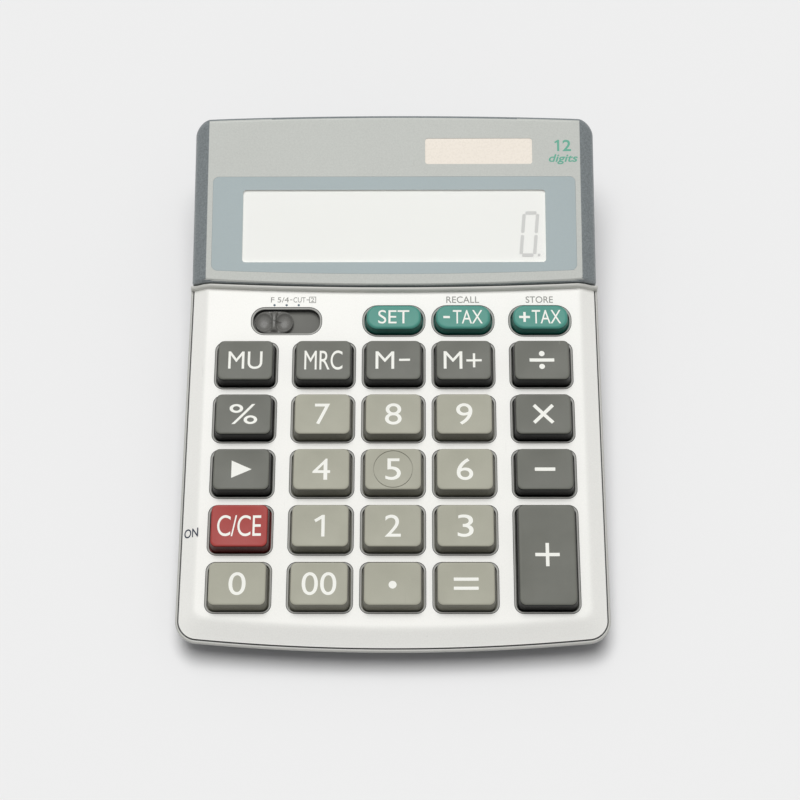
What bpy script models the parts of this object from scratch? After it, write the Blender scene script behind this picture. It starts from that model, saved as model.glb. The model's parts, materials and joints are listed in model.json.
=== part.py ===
"""Desk calculator: a sloping key panel, a display hood tilted up behind it, sprung keys and a slide selector.

Metres, +Z up, front towards -Y. The origin is under the middle of the case, on the surface it stands on.
The key panel has its own frame: u runs across it, v runs up it from the middle key row, and w stands
square to it with 0 on its flat face. The display face has another: s runs up it from its front edge.
"""
import math

import bmesh
import bpy
from mathutils import Matrix, Vector

# ---------------------------------------------------------------- driving dimensions

PANEL_TILT = math.radians(4.5)
DISPLAY_TILT = math.radians(10.0)
FRONT_WALL_HEIGHT = 0.0066
FOOT_HEIGHT = 0.0012

KEY_WIDTH = 0.0172
KEY_DEPTH = 0.0135
KEY_CORNER = 0.0018
KEY_HEIGHT = 0.0042
KEY_DRAFT = 0.0006
KEY_EDGE = 0.0003
KEY_TRAVEL = 0.0012
KEY_GAP = 0.0003
KEY_LIP = 0.0007
KEY_LIP_THICKNESS = 0.0008
PILL_DEPTH = 0.00855
PILL_HEIGHT = 0.0030

RIM_WIDTH = 0.0008
RIM_FALL = 0.0007
COLUMN_WEB = 0.0016
OUTER_COLUMN_WEB = 0.0040
ROW_WEB = 0.00175
PILL_WEB = 0.0016

SIDE_MARGIN = 0.0031
FRONT_MARGIN = 0.00425
BACK_MARGIN = 0.0042
SIDE_SLOPE_RUN = 0.0044
FRONT_SLOPE_RUN = 0.0052
SLOPE_DROP = 0.0026
BEAD_WIDTH = 0.0009
BUTT_CORNER = 0.0006
CASE_CORNER = 0.0060
FRONT_BOW = 0.0032
LEDGE_BOW = 0.0017
BACK_BOW = 0.0012
PARTING_DEPTH = 0.0036
CASE_WALL = 0.0018
FLOOR_THICKNESS = 0.0016
BOTTOM_INSET = 0.0046
BOTTOM_BEVEL = 0.0022

RISER_HEIGHT = 0.0016
RISER_THICKNESS = 0.0010
DISPLAY_LENGTH = 0.0533
DISPLAY_RISE = 0.0027
HOOD_WALL = 0.0022
HOOD_SIDE_STEP = 0.0005
HOOD_SIDE_DROP = 0.0030
HOOD_EDGE_DROP = 0.0010
HOOD_FRONT_RUN = 0.0005
HOOD_BACK_RUN = 0.0014
HOOD_CORNER = 0.0055
HOOD_FACE_CORNER = 0.0015

WINDOW_MARGIN = 0.0014
WINDOW_START = 0.0036
WINDOW_LENGTH = 0.0308
WINDOW_THICKNESS = 0.0010
WINDOW_CORNER = 0.0018
VIEW_SIDE_MARGIN = 0.0110
VIEW_LENGTH = 0.0233
VIEW_START = 0.0068
LCD_BORDER = 0.0022
LCD_THICKNESS = 0.0020
TRAY_WALL = 0.0010
SOLAR_WIDTH = 0.0332
SOLAR_LENGTH = 0.0084
SOLAR_CENTRE = 0.0262
SOLAR_START = 0.0385
SOLAR_CORNER = 0.0007
SOLAR_CELL_THICKNESS = 0.0012
GLAZING_LIP = 0.0009

SELECTOR_WIDTH = 0.0204
SELECTOR_DEPTH = 0.0081
SELECTOR_TRAVEL = 0.0074
SELECTOR_KNOB_WIDTH = 0.0122
SELECTOR_KNOB_SINK = 0.0009
SELECTOR_PLATE = 0.0010
SELECTOR_RIDGE_WIDTH = 0.0026

DOME_HEIGHT = 0.0006
DOME_RADIUS = 0.0030
SHEET_THICKNESS = 0.0008
BOARD_THICKNESS = 0.0012
BOARD_SIDE_MARGIN = 0.0012
BOARD_REAR_REACH = 0.0095
PROCESSOR_RADIUS = 0.0070
PROCESSOR_HEIGHT = 0.0016
RIBBON_WIDTH = 0.0420
RIBBON_THICKNESS = 0.00025
WIRE_RADIUS = 0.0005

SCREW_RADIUS = 0.0009
SCREW_HEAD_RADIUS = 0.0018
SCREW_HEAD_HEIGHT = 0.0012
SCREW_RECESS = 0.0004
SCREW_BITE = 0.0040

CELL_RADIUS = 0.0058
CELL_HEIGHT = 0.0054
CONTACT_THICKNESS = 0.0003
CONTACT_WIDTH = 0.0040
COVER_THICKNESS = 0.0013
FOOT_RADIUS = 0.0045
FOOT_SEAT = 0.0006

FIT_GAP = 0.0003
CUT_PAST = 0.0005
CORNER_STEPS = 3
BOW_STEPS = 8
ROUND_STEPS = 16

# ---------------------------------------------------------------- sizes that follow from them

RIM_X = KEY_WIDTH + 2 * (KEY_GAP + RIM_WIDTH)
RIM_Y = KEY_DEPTH + 2 * (KEY_GAP + RIM_WIDTH)
PILL_RIM_Y = PILL_DEPTH + 2 * (KEY_GAP + RIM_WIDTH)
COLUMN_PITCH = RIM_X + COLUMN_WEB
OUTER_PITCH = RIM_X + OUTER_COLUMN_WEB
ROW_PITCH = RIM_Y + ROW_WEB
COLUMNS = [-COLUMN_PITCH - OUTER_PITCH, -COLUMN_PITCH, 0.0, COLUMN_PITCH, COLUMN_PITCH + OUTER_PITCH]
ROWS = [(2 - row) * ROW_PITCH for row in range(5)]
PILL_ROW = ROWS[0] + RIM_Y / 2 + PILL_WEB + PILL_RIM_Y / 2

FLAT_HALF_WIDTH = COLUMNS[4] + RIM_X / 2 + SIDE_MARGIN
CASE_HALF_WIDTH = FLAT_HALF_WIDTH + SIDE_SLOPE_RUN + BEAD_WIDTH
FLAT_FRONT = ROWS[4] - RIM_Y / 2 - FRONT_MARGIN
CASE_FRONT = FLAT_FRONT - FRONT_SLOPE_RUN - BEAD_WIDTH
LEDGE = PILL_ROW + PILL_RIM_Y / 2 + BACK_MARGIN
PANEL_BACK = LEDGE + RISER_THICKNESS
HOOD_FRONT = PANEL_BACK + FIT_GAP
FACE_FRONT = HOOD_FRONT + HOOD_FRONT_RUN
FACE_BACK = FACE_FRONT + DISPLAY_LENGTH * math.cos(DISPLAY_TILT)
CASE_BACK = FACE_BACK + HOOD_BACK_RUN
HOOD_HALF_WIDTH = CASE_HALF_WIDTH - HOOD_SIDE_STEP
FACE_HALF_WIDTH = HOOD_HALF_WIDTH - SIDE_SLOPE_RUN
WINDOW_WIDTH = 2 * (FACE_HALF_WIDTH - WINDOW_MARGIN)
VIEW_WIDTH = 2 * (FACE_HALF_WIDTH - VIEW_SIDE_MARGIN)

LIP_TOP = -CASE_WALL - FIT_GAP
KEY_BOTTOM = LIP_TOP - KEY_LIP_THICKNESS
DOME_TOP = KEY_BOTTOM - KEY_TRAVEL - FIT_GAP
SHEET_TOP = DOME_TOP - DOME_HEIGHT
BOARD_TOP = SHEET_TOP - SHEET_THICKNESS - FIT_GAP
BOARD_BOTTOM = BOARD_TOP - BOARD_THICKNESS
PLATE_TOP = -CASE_WALL - FIT_GAP
PLATE_BOTTOM = PLATE_TOP - SELECTOR_PLATE
LOWER_RIM = -PARTING_DEPTH - FIT_GAP

PANEL_HEIGHT = (FOOT_HEIGHT + FRONT_WALL_HEIGHT - LOWER_RIM * math.cos(PANEL_TILT)
                - CASE_FRONT * math.sin(PANEL_TILT))
PANEL_SHIFT = -((CASE_FRONT + CASE_BACK) / 2 * math.cos(PANEL_TILT) + PARTING_DEPTH * math.sin(PANEL_TILT))
FLOOR_BOTTOM = FOOT_HEIGHT
FLOOR_TOP = FLOOR_BOTTOM + FLOOR_THICKNESS

PANEL_TO_WORLD = Matrix.Translation((0.0, PANEL_SHIFT, PANEL_HEIGHT)) @ Matrix.Rotation(PANEL_TILT, 4, "X")
DISPLAY_TO_PANEL = Matrix.Translation((0.0, FACE_FRONT, DISPLAY_RISE)) @ Matrix.Rotation(DISPLAY_TILT, 4, "X")

BOARD_HALF_WIDTH = FLAT_HALF_WIDTH - CASE_WALL - BOARD_SIDE_MARGIN
BOARD_FRONT = FLAT_FRONT + CASE_WALL - FIT_GAP
BOARD_BACK = LEDGE + BOARD_REAR_REACH
POST_RADIUS = OUTER_COLUMN_WEB / 2 + RIM_WIDTH - KEY_LIP - FIT_GAP
PEG_RADIUS = POST_RADIUS - FIT_GAP
PILOT_RADIUS = SCREW_RADIUS + FIT_GAP
SLEEVE_RADIUS = SCREW_HEAD_RADIUS + FIT_GAP + CASE_WALL / 2


# ---------------------------------------------------------------- collections and materials

for old_object in list(bpy.data.objects):
    bpy.data.objects.remove(old_object, do_unlink=True)

parts = bpy.data.collections.new("desk_calculator")
cutters = bpy.data.collections.new("cutters")
bpy.context.scene.collection.children.link(parts)
bpy.context.scene.collection.children.link(cutters)


def make_material(name, colour, roughness, metallic=0.0):
    """A plain Principled material."""
    material = bpy.data.materials.new(name)
    material.use_nodes = True
    shader = material.node_tree.nodes["Principled BSDF"]
    shader.inputs["Base Color"].default_value = (*colour, 1.0)
    shader.inputs["Roughness"].default_value = roughness
    shader.inputs["Metallic"].default_value = metallic
    return material


def put(obj, collection, parent=None, location=(0.0, 0.0, 0.0)):
    """Link an object, hang it on its frame and set its place there."""
    collection.objects.link(obj)
    obj.parent = parent
    obj.location = location
    if collection == cutters:
        obj.hide_render = True
        obj.display_type = "WIRE"
    return obj


def make_frame(name, matrix, parent=None):
    """An empty that carries the pieces of one tilted frame."""
    frame = bpy.data.objects.new(name, None)
    parts.objects.link(frame)
    frame.parent = parent
    frame.matrix_local = matrix
    return frame


panel_frame = make_frame("panel_frame", PANEL_TO_WORLD)
display_frame = make_frame("display_frame", DISPLAY_TO_PANEL, panel_frame)


# ---------------------------------------------------------------- shape helpers

def rounded_rectangle(width, depth, radius, steps=CORNER_STEPS):
    """Points of a rounded rectangle about the origin, anticlockwise."""
    points = []
    for turn, (side_x, side_y) in enumerate([(1, -1), (1, 1), (-1, 1), (-1, -1)]):
        centre = Vector((side_x * (width / 2 - radius), side_y * (depth / 2 - radius)))
        for step in range(steps + 1):
            angle = math.radians(90) * (turn - 1 + step / steps)
            points.append(centre + radius * Vector((math.cos(angle), math.sin(angle))))
    return points


def plan_outline(half_width, front, back, front_radius, back_radius, front_bow, back_bow):
    """Plan of the case, anticlockwise: rounded corners, with the front and back edges bowed."""
    points = []
    corners = [(1, front, front_radius, 0), (1, back, back_radius, 1),
               (-1, back, back_radius, 2), (-1, front, front_radius, 3)]
    for side, edge, radius, turn in corners:
        inward = radius if edge == front else -radius
        centre = Vector((side * (half_width - radius), edge + inward))
        for step in range(CORNER_STEPS + 2):
            angle = math.radians(90) * (turn - 1 + step / (CORNER_STEPS + 1))
            points.append(centre + radius * Vector((math.cos(angle), math.sin(angle))))
        if turn in (1, 3):
            reach = half_width - radius
            for step in range(1, BOW_STEPS):
                across = reach * (1 - 2 * step / BOW_STEPS)
                points.append(Vector((across if turn == 1 else -across, edge)))
    middle = (front + back) / 2
    for point in points:
        bow = front_bow if point.y < middle else back_bow
        point.y += bow * (point.x / half_width) ** 2
    return points


def ring(points, height):
    """Outline points lifted to one height."""
    return [Vector((point.x, point.y, height)) for point in points]


def loft(name, rings):
    """A closed solid through rings of equal point count, capped at both ends."""
    mesh = bpy.data.meshes.new(name)
    work = bmesh.new()
    levels = [[work.verts.new(point) for point in points] for points in rings]
    count = len(rings[0])
    for lower, upper in zip(levels, levels[1:]):
        for here in range(count):
            after = (here + 1) % count
            work.faces.new((lower[here], lower[after], upper[after], upper[here]))
    work.faces.new(list(reversed(levels[0])))
    work.faces.new(levels[-1])
    bmesh.ops.recalc_face_normals(work, faces=work.faces)
    work.to_mesh(mesh)
    work.free()
    return mesh


def block(name, low, high):
    """A box between two corners, from the cube primitive."""
    mesh = bpy.data.meshes.new(name)
    work = bmesh.new()
    bmesh.ops.create_cube(work, size=1.0)
    size = Vector(high) - Vector(low)
    bmesh.ops.scale(work, vec=size, verts=work.verts)
    bmesh.ops.translate(work, vec=Vector(low) + size / 2, verts=work.verts)
    work.to_mesh(mesh)
    work.free()
    return mesh


def round_bar(name, places, radius, low, high, top_radius=None, steps=ROUND_STEPS):
    """Upright cylinders or cones at the given places, all in one mesh."""
    mesh = bpy.data.meshes.new(name)
    work = bmesh.new()
    for across, along in places:
        middle = Matrix.Translation((across, along, (low + high) / 2))
        bmesh.ops.create_cone(work, cap_ends=True, segments=steps, radius1=radius,
                              radius2=radius if top_radius is None else top_radius,
                              depth=high - low, matrix=middle)
    work.to_mesh(mesh)
    work.free()
    return mesh


def strip(name, path, width, thickness):
    """A bent flat strip: the path lies in the plane across its width, which runs along x."""
    sections = []
    for index, point in enumerate(path):
        before = path[max(index - 1, 0)]
        after = path[min(index + 1, len(path) - 1)]
        along = (Vector(after) - Vector(before)).normalized()
        normal = Vector((-along.y, along.x)) * thickness / 2
        face_a = Vector(point) + normal
        face_b = Vector(point) - normal
        sections.append([Vector((-width / 2, face_a.x, face_a.y)), Vector((width / 2, face_a.x, face_a.y)),
                         Vector((width / 2, face_b.x, face_b.y)), Vector((-width / 2, face_b.x, face_b.y))])
    return loft(name, sections)


def lathe(name, profile, steps=ROUND_STEPS):
    """A turned solid: the profile (radius, height) runs down the outside, closed on the axis."""
    mesh = bpy.data.meshes.new(name)
    work = bmesh.new()
    verts = [work.verts.new((radius, 0.0, height)) for radius, height in profile]
    for upper, lower in zip(verts, verts[1:]):
        work.edges.new((upper, lower))
    work.to_mesh(mesh)
    work.free()
    obj = bpy.data.objects.new(name, mesh)
    screw = obj.modifiers.new("turn", "SCREW")
    screw.steps = steps
    screw.render_steps = steps
    screw.use_merge_vertices = True
    screw.merge_threshold = 0.00001
    return obj


def piece(name, mesh, material, parent=None, location=(0.0, 0.0, 0.0)):
    """One named sub-part from a mesh."""
    obj = bpy.data.objects.new(name, mesh)
    if not mesh.materials:
        mesh.materials.append(material)
    return put(obj, parts, parent, location)


def cutter(name, mesh, parent=None, location=(0.0, 0.0, 0.0)):
    """A helper solid for a boolean."""
    return put(bpy.data.objects.new(name, mesh), cutters, parent, location)


def combine(obj, helper, operation):
    """Cut a helper solid out of a piece, or join it on."""
    boolean = obj.modifiers.new(helper.name, "BOOLEAN")
    boolean.operation = operation
    boolean.solver = "EXACT"
    boolean.object = helper


def smooth(obj, degrees=35.0):
    """Smooth shading with sharp edges kept."""
    obj.data.shade_smooth()
    obj.data.set_sharp_from_angle(angle=math.radians(degrees))


def wire(name, points, material, parent=None):
    """A round wire along a smooth curve through its points."""
    route = []
    ends = [points[0]] + points + [points[-1]]
    for index in range(1, len(ends) - 2):
        start, here, there, finish = (Vector(ends[index + offset]) for offset in (-1, 0, 1, 2))
        for step in range(4):
            t = step / 4
            route.append(0.5 * (2 * here + (there - start) * t
                                + (2 * start - 5 * here + 4 * there - finish) * t ** 2
                                + (3 * here - start - 3 * there + finish) * t ** 3))
    route.append(Vector(points[-1]))
    curve = bpy.data.curves.new(name, "CURVE")
    curve.dimensions = "3D"
    spline = curve.splines.new("POLY")
    spline.points.add(len(route) - 1)
    for target, point in zip(spline.points, route):
        target.co = (*point, 1.0)
    curve.bevel_depth = WIRE_RADIUS
    curve.bevel_resolution = 2
    curve.use_fill_caps = True
    curve.materials.append(material)
    return put(bpy.data.objects.new(name, curve), parts, parent)


# ---------------------------------------------------------------- key panel

silver_paint = make_material("silver_paint", (0.74, 0.73, 0.69), 0.38, 0.35)
hood_paint = make_material("hood_paint", (0.32, 0.34, 0.34), 0.34, 0.55)
dark_plastic = make_material("dark_plastic", (0.07, 0.07, 0.075), 0.55)


def panel_outline(side_inset, front_inset, back_inset, radius):
    """Plan of the key panel, moved in from its outer edge."""
    return plan_outline(CASE_HALF_WIDTH - side_inset, CASE_FRONT + front_inset, PANEL_BACK - back_inset,
                        radius, BUTT_CORNER, FRONT_BOW, LEDGE_BOW)


def deck_height(across):
    """Height of the panel's upper face at a distance from its middle."""
    beyond = max(abs(across) - FLAT_HALF_WIDTH, 0.0)
    return -SLOPE_DROP * min(beyond / SIDE_SLOPE_RUN, 1.0)


flat_side = BEAD_WIDTH + SIDE_SLOPE_RUN
flat_front = BEAD_WIDTH + FRONT_SLOPE_RUN
bead_top = -SLOPE_DROP - FIT_GAP
inner_flat_side = flat_side + CASE_WALL / 3
inner_flat_front = flat_front + CASE_WALL / 3
upper_case = piece("upper_case", loft("upper_case", [
    ring(panel_outline(inner_flat_side, inner_flat_front, CASE_WALL, CASE_CORNER / 2), -CASE_WALL),
    ring(panel_outline(CASE_WALL + BEAD_WIDTH / 2, CASE_WALL + BEAD_WIDTH / 2, CASE_WALL,
                       CASE_CORNER - CASE_WALL),
         -PARTING_DEPTH + FIT_GAP),
    ring(panel_outline(CASE_WALL, CASE_WALL, CASE_WALL, CASE_CORNER - CASE_WALL), -PARTING_DEPTH),
    ring(panel_outline(0.0, 0.0, 0.0, CASE_CORNER), -PARTING_DEPTH),
    ring(panel_outline(0.0, 0.0, 0.0, CASE_CORNER), bead_top),
    ring(panel_outline(BEAD_WIDTH, BEAD_WIDTH, 0.0, CASE_CORNER - BEAD_WIDTH), -SLOPE_DROP),
    ring(panel_outline(flat_side, flat_front, 0.0, CASE_CORNER / 2), 0.0),
]), silver_paint, panel_frame)

# The riser along the ledge follows the panel's section: flat in the middle, sloping at the sides.
riser_stations = [-CASE_HALF_WIDTH, -FLAT_HALF_WIDTH - SIDE_SLOPE_RUN]
riser_stations += [FLAT_HALF_WIDTH * (2 * step / BOW_STEPS - 1) for step in range(BOW_STEPS + 1)]
riser_stations += [FLAT_HALF_WIDTH + SIDE_SLOPE_RUN, CASE_HALF_WIDTH]
riser_sections = []
for across in riser_stations:
    bow = LEDGE_BOW * (across / CASE_HALF_WIDTH) ** 2
    base = deck_height(across) - CASE_WALL / 2
    top = deck_height(across) + RISER_HEIGHT
    riser_sections.append([Vector((across, LEDGE + bow, base)), Vector((across, PANEL_BACK + bow, base)),
                           Vector((across, PANEL_BACK + bow, top)),
                           Vector((across, LEDGE + bow + RISER_THICKNESS / 2, top))])
combine(upper_case, cutter("riser", loft("riser", riser_sections), panel_frame), "UNION")

# Screw posts hang from the panel between its columns and pass through the keypad and the board.
post_places = [(side * (COLUMNS[3] + OUTER_PITCH / 2), row) for row in (ROWS[4], ROWS[0]) for side in (-1, 1)]
post_end = BOARD_BOTTOM - FIT_GAP
panel_posts = round_bar("panel_posts", post_places, POST_RADIUS, post_end, -CASE_WALL / 2)
combine(upper_case, cutter("panel_posts", panel_posts, panel_frame), "UNION")
pilot_top = -CASE_WALL - FIT_GAP
pilot_holes = round_bar("pilot_holes", post_places, PILOT_RADIUS, post_end - CUT_PAST, pilot_top, steps=8)
combine(upper_case, cutter("pilot_holes", pilot_holes, panel_frame), "DIFFERENCE")


# ---------------------------------------------------------------- keys

number_plastic = make_material("number_key_plastic", (0.43, 0.42, 0.34), 0.40)
function_plastic = make_material("function_key_plastic", (0.13, 0.13, 0.12), 0.40)
clear_plastic = make_material("clear_key_plastic", (0.48, 0.06, 0.05), 0.38)
tax_plastic = make_material("tax_key_plastic", (0.07, 0.33, 0.26), 0.38)

KEYS = [
    ("key_mu", 0, 0, function_plastic), ("key_mrc", 1, 0, function_plastic),
    ("key_m_minus", 2, 0, function_plastic), ("key_m_plus", 3, 0, function_plastic),
    ("key_divide", 4, 0, function_plastic),
    ("key_percent", 0, 1, function_plastic), ("key_7", 1, 1, number_plastic),
    ("key_8", 2, 1, number_plastic), ("key_9", 3, 1, number_plastic),
    ("key_multiply", 4, 1, function_plastic),
    ("key_shift_right", 0, 2, function_plastic), ("key_4", 1, 2, number_plastic),
    ("key_5", 2, 2, number_plastic), ("key_6", 3, 2, number_plastic),
    ("key_minus", 4, 2, function_plastic),
    ("key_clear", 0, 3, clear_plastic), ("key_1", 1, 3, number_plastic),
    ("key_2", 2, 3, number_plastic), ("key_3", 3, 3, number_plastic),
    ("key_0", 0, 4, number_plastic), ("key_00", 1, 4, number_plastic),
    ("key_point", 2, 4, number_plastic), ("key_equals", 3, 4, number_plastic),
]
PILLS = [("key_set", 2), ("key_tax_minus", 3), ("key_tax_plus", 4)]


def key_mesh(name, width, depth, corner, height):
    """A keycap: retaining lip under the panel, drafted body, chamfered top edge."""
    def level(grow, up):
        return ring(rounded_rectangle(width + 2 * grow, depth + 2 * grow, corner + grow), up)
    return loft(name, [
        level(KEY_GAP + KEY_LIP, KEY_BOTTOM),
        level(KEY_GAP + KEY_LIP, LIP_TOP),
        level(0.0, LIP_TOP),
        level(0.0, 0.0),
        level(-KEY_DRAFT, height - KEY_EDGE),
        level(-KEY_DRAFT - KEY_EDGE, height),
    ])


def aperture_mesh(name, width, depth, corner):
    """The opening round a key: a straight hole with a chamfered rim."""
    def level(grow, up):
        grow += KEY_GAP
        return ring(rounded_rectangle(width + 2 * grow, depth + 2 * grow, corner + grow), up)
    flare = RIM_WIDTH / RIM_FALL
    return loft(name, [
        level(0.0, -CASE_WALL - CUT_PAST),
        level(0.0, -RIM_FALL),
        level(RIM_WIDTH + flare * CUT_PAST, CUT_PAST),
    ])


def add_key(name, across, along, width, depth, corner, height, material, shared_mesh=None):
    """A keycap on its own slide axis, and its opening in the panel."""
    mesh = shared_mesh or key_mesh(name, width, depth, corner, height)
    key = piece(name, mesh, material, panel_frame, (across, along, 0.0))
    opening = aperture_mesh(name + "_opening", width, depth, corner)
    combine(upper_case, cutter(name + "_opening", opening, panel_frame, (across, along, 0.0)), "DIFFERENCE")
    return key


key_places = []
meshes_by_material = {}
for key_name, column, row, plastic in KEYS:
    place = (COLUMNS[column], ROWS[row])
    shared = meshes_by_material.get(plastic.name)
    made = add_key(key_name, *place, KEY_WIDTH, KEY_DEPTH, KEY_CORNER, KEY_HEIGHT, plastic, shared)
    meshes_by_material[plastic.name] = made.data
    key_places.append(place)

plus_place = (COLUMNS[4], (ROWS[3] + ROWS[4]) / 2)
add_key("key_plus", *plus_place, KEY_WIDTH, KEY_DEPTH + ROW_PITCH, KEY_CORNER, KEY_HEIGHT, function_plastic)
key_places += [(COLUMNS[4], ROWS[3]), (COLUMNS[4], ROWS[4])]

pill_mesh = None
for pill_name, column in PILLS:
    place = (COLUMNS[column], PILL_ROW)
    made = add_key(pill_name, *place, KEY_WIDTH, PILL_DEPTH, PILL_DEPTH / 2 - KEY_DRAFT, PILL_HEIGHT,
                   tax_plastic, pill_mesh)
    pill_mesh = made.data
    key_places.append(place)


# ---------------------------------------------------------------- slide selector

selector_place = ((COLUMNS[0] + COLUMNS[1]) / 2, PILL_ROW, 0.0)
selector_opening = aperture_mesh("selector_opening", SELECTOR_WIDTH - 2 * KEY_GAP,
                                 SELECTOR_DEPTH - 2 * KEY_GAP,
                                 SELECTOR_DEPTH / 2 - KEY_GAP - FIT_GAP)
combine(upper_case, cutter("selector_opening", selector_opening, panel_frame, selector_place), "DIFFERENCE")

knob_start = -(SELECTOR_WIDTH - SELECTOR_KNOB_WIDTH) / 2 + FIT_GAP
knob_depth = SELECTOR_DEPTH - 2 * FIT_GAP
plate_half = SELECTOR_WIDTH / 2 + FIT_GAP
plate_depth = min(SELECTOR_DEPTH + 4 * BEAD_WIDTH, PILL_RIM_Y + PILL_WEB)
selector_knob = piece("selector_knob", block(
    "selector_knob",
    (-plate_half - SELECTOR_TRAVEL - knob_start, -plate_depth / 2, PLATE_BOTTOM),
    (plate_half - knob_start, plate_depth / 2, PLATE_TOP)),
    function_plastic, panel_frame, (selector_place[0] + knob_start, selector_place[1], 0.0))
thumb_outline = rounded_rectangle(SELECTOR_KNOB_WIDTH, knob_depth, knob_depth / 2 - FIT_GAP, 5)
thumb = loft("thumb", [ring(thumb_outline, PLATE_TOP - SELECTOR_PLATE / 2),
                       ring(thumb_outline, -SELECTOR_KNOB_SINK)])
combine(selector_knob, cutter("thumb", thumb, selector_knob), "UNION")
ridge_half = SELECTOR_RIDGE_WIDTH / 2
ridge_reach = knob_depth / 2 - FIT_GAP
ridge = block("ridge", (-ridge_half, -ridge_reach, -SELECTOR_KNOB_SINK - FIT_GAP),
              (ridge_half, ridge_reach, FIT_GAP))
combine(selector_knob, cutter("ridge", ridge, selector_knob), "UNION")

spring_steel = make_material("spring_steel", (0.62, 0.58, 0.48), 0.30, 1.0)
wiper_top = PLATE_BOTTOM - FIT_GAP - CONTACT_THICKNESS
wiper_foot = BOARD_TOP + FIT_GAP + CONTACT_THICKNESS
wiper_path = [(-knob_depth / 2, wiper_top), (-knob_depth / 6, wiper_top), (0.0, wiper_foot),
              (knob_depth / 6, wiper_foot), (knob_depth / 2, (wiper_top + wiper_foot) / 2)]
piece("selector_contact", strip("selector_contact", wiper_path, CONTACT_WIDTH,
                                                   CONTACT_THICKNESS),
                         spring_steel, panel_frame, (selector_place[0] + knob_start, selector_place[1], 0.0))


# ---------------------------------------------------------------- rubber keypad and board

silicone = make_material("silicone_rubber", (0.30, 0.31, 0.32), 0.70)
board_green = make_material("board_green", (0.05, 0.22, 0.10), 0.45)
resin_black = make_material("resin_black", (0.02, 0.02, 0.02), 0.35)

sheet_bottom = SHEET_TOP - SHEET_THICKNESS
main_rows_back = ROWS[0] + RIM_Y / 2
sheet_front = ROWS[4] - RIM_Y / 2
rubber_keypad = piece("rubber_keypad", block(
    "rubber_keypad", (COLUMNS[0] - RIM_X / 2, sheet_front, sheet_bottom),
    (COLUMNS[4] + RIM_X / 2, main_rows_back, SHEET_TOP)), silicone, panel_frame)
pill_flap = block("pill_flap", (COLUMNS[2] - RIM_X / 2, main_rows_back - RIM_Y / 2, sheet_bottom),
                  (COLUMNS[4] + RIM_X / 2, PILL_ROW + PILL_RIM_Y / 2, SHEET_TOP))
combine(rubber_keypad, cutter("pill_flap", pill_flap, panel_frame), "UNION")
domes = round_bar("domes", key_places, DOME_RADIUS, SHEET_TOP - SHEET_THICKNESS / 2, DOME_TOP,
                  DOME_RADIUS * 0.7, 8)
combine(rubber_keypad, cutter("domes", domes, panel_frame), "UNION")
post_holes = cutter("post_holes", round_bar("post_holes", post_places, POST_RADIUS + FIT_GAP,
                                            BOARD_BOTTOM - CUT_PAST, SHEET_TOP + CUT_PAST), panel_frame)
combine(rubber_keypad, post_holes, "DIFFERENCE")

main_pcb = piece("main_pcb", block("main_pcb", (-BOARD_HALF_WIDTH, BOARD_FRONT, BOARD_BOTTOM),
                                   (BOARD_HALF_WIDTH, BOARD_BACK, BOARD_TOP)), board_green, panel_frame)
combine(main_pcb, post_holes, "DIFFERENCE")

processor_top = BOARD_BOTTOM - FIT_GAP
processor = lathe("processor", [(0.0, processor_top), (PROCESSOR_RADIUS, processor_top),
                                (PROCESSOR_RADIUS * 0.85, processor_top - PROCESSOR_HEIGHT * 0.6),
                                (PROCESSOR_RADIUS * 0.5, processor_top - PROCESSOR_HEIGHT * 0.93),
                                (0.0, processor_top - PROCESSOR_HEIGHT)])
processor.data.materials.append(resin_black)
put(processor, parts, panel_frame, (COLUMNS[2], ROWS[0], 0.0))
smooth(processor)


# ---------------------------------------------------------------- display hood

def hood_outline(inset, corner):
    """Plan of the hood, moved in from its outer edge."""
    return plan_outline(HOOD_HALF_WIDTH - inset, HOOD_FRONT + inset, CASE_BACK - inset,
                        BUTT_CORNER, corner, LEDGE_BOW, -BACK_BOW)


def face_height(along):
    """Height of the display face over the key panel's plane."""
    return DISPLAY_RISE + (along - FACE_FRONT) * math.tan(DISPLAY_TILT)


def shoulder(points, fall):
    """Hood outline on the shoulder under the face: deep at the sides, shallow at the front and back."""
    raised = []
    for point in points:
        side = min(max((abs(point.x) - FACE_HALF_WIDTH) / SIDE_SLOPE_RUN, 0.0), 1.0)
        drop = HOOD_EDGE_DROP + (HOOD_SIDE_DROP - HOOD_EDGE_DROP) * side + fall
        raised.append(Vector((point.x, point.y, face_height(point.y) - drop)))
    return raised


def on_face(points, fall):
    """Outline laid on the display face, or under it by a wall's thickness."""
    return [Vector((point.x, point.y, face_height(point.y) - fall)) for point in points]


hood_plan = hood_outline(0.0, HOOD_CORNER)
hood_inner = hood_outline(HOOD_WALL, HOOD_CORNER - HOOD_WALL)
face_plan = plan_outline(FACE_HALF_WIDTH, FACE_FRONT, FACE_BACK, HOOD_FACE_CORNER, HOOD_FACE_CORNER,
                         LEDGE_BOW, -BACK_BOW)
inner_face = plan_outline(FACE_HALF_WIDTH - HOOD_WALL / 2, FACE_FRONT + HOOD_WALL, FACE_BACK - HOOD_WALL,
                          HOOD_FACE_CORNER, HOOD_FACE_CORNER, LEDGE_BOW, -BACK_BOW)
display_housing = piece("display_housing", loft("display_housing", [
    on_face(inner_face, HOOD_WALL),
    shoulder(hood_inner, HOOD_WALL),
    ring(hood_inner, -PARTING_DEPTH),
    ring(hood_plan, -PARTING_DEPTH),
    shoulder(hood_plan, 0.0),
    on_face(face_plan, 0.0),
]), hood_paint, panel_frame)

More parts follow.
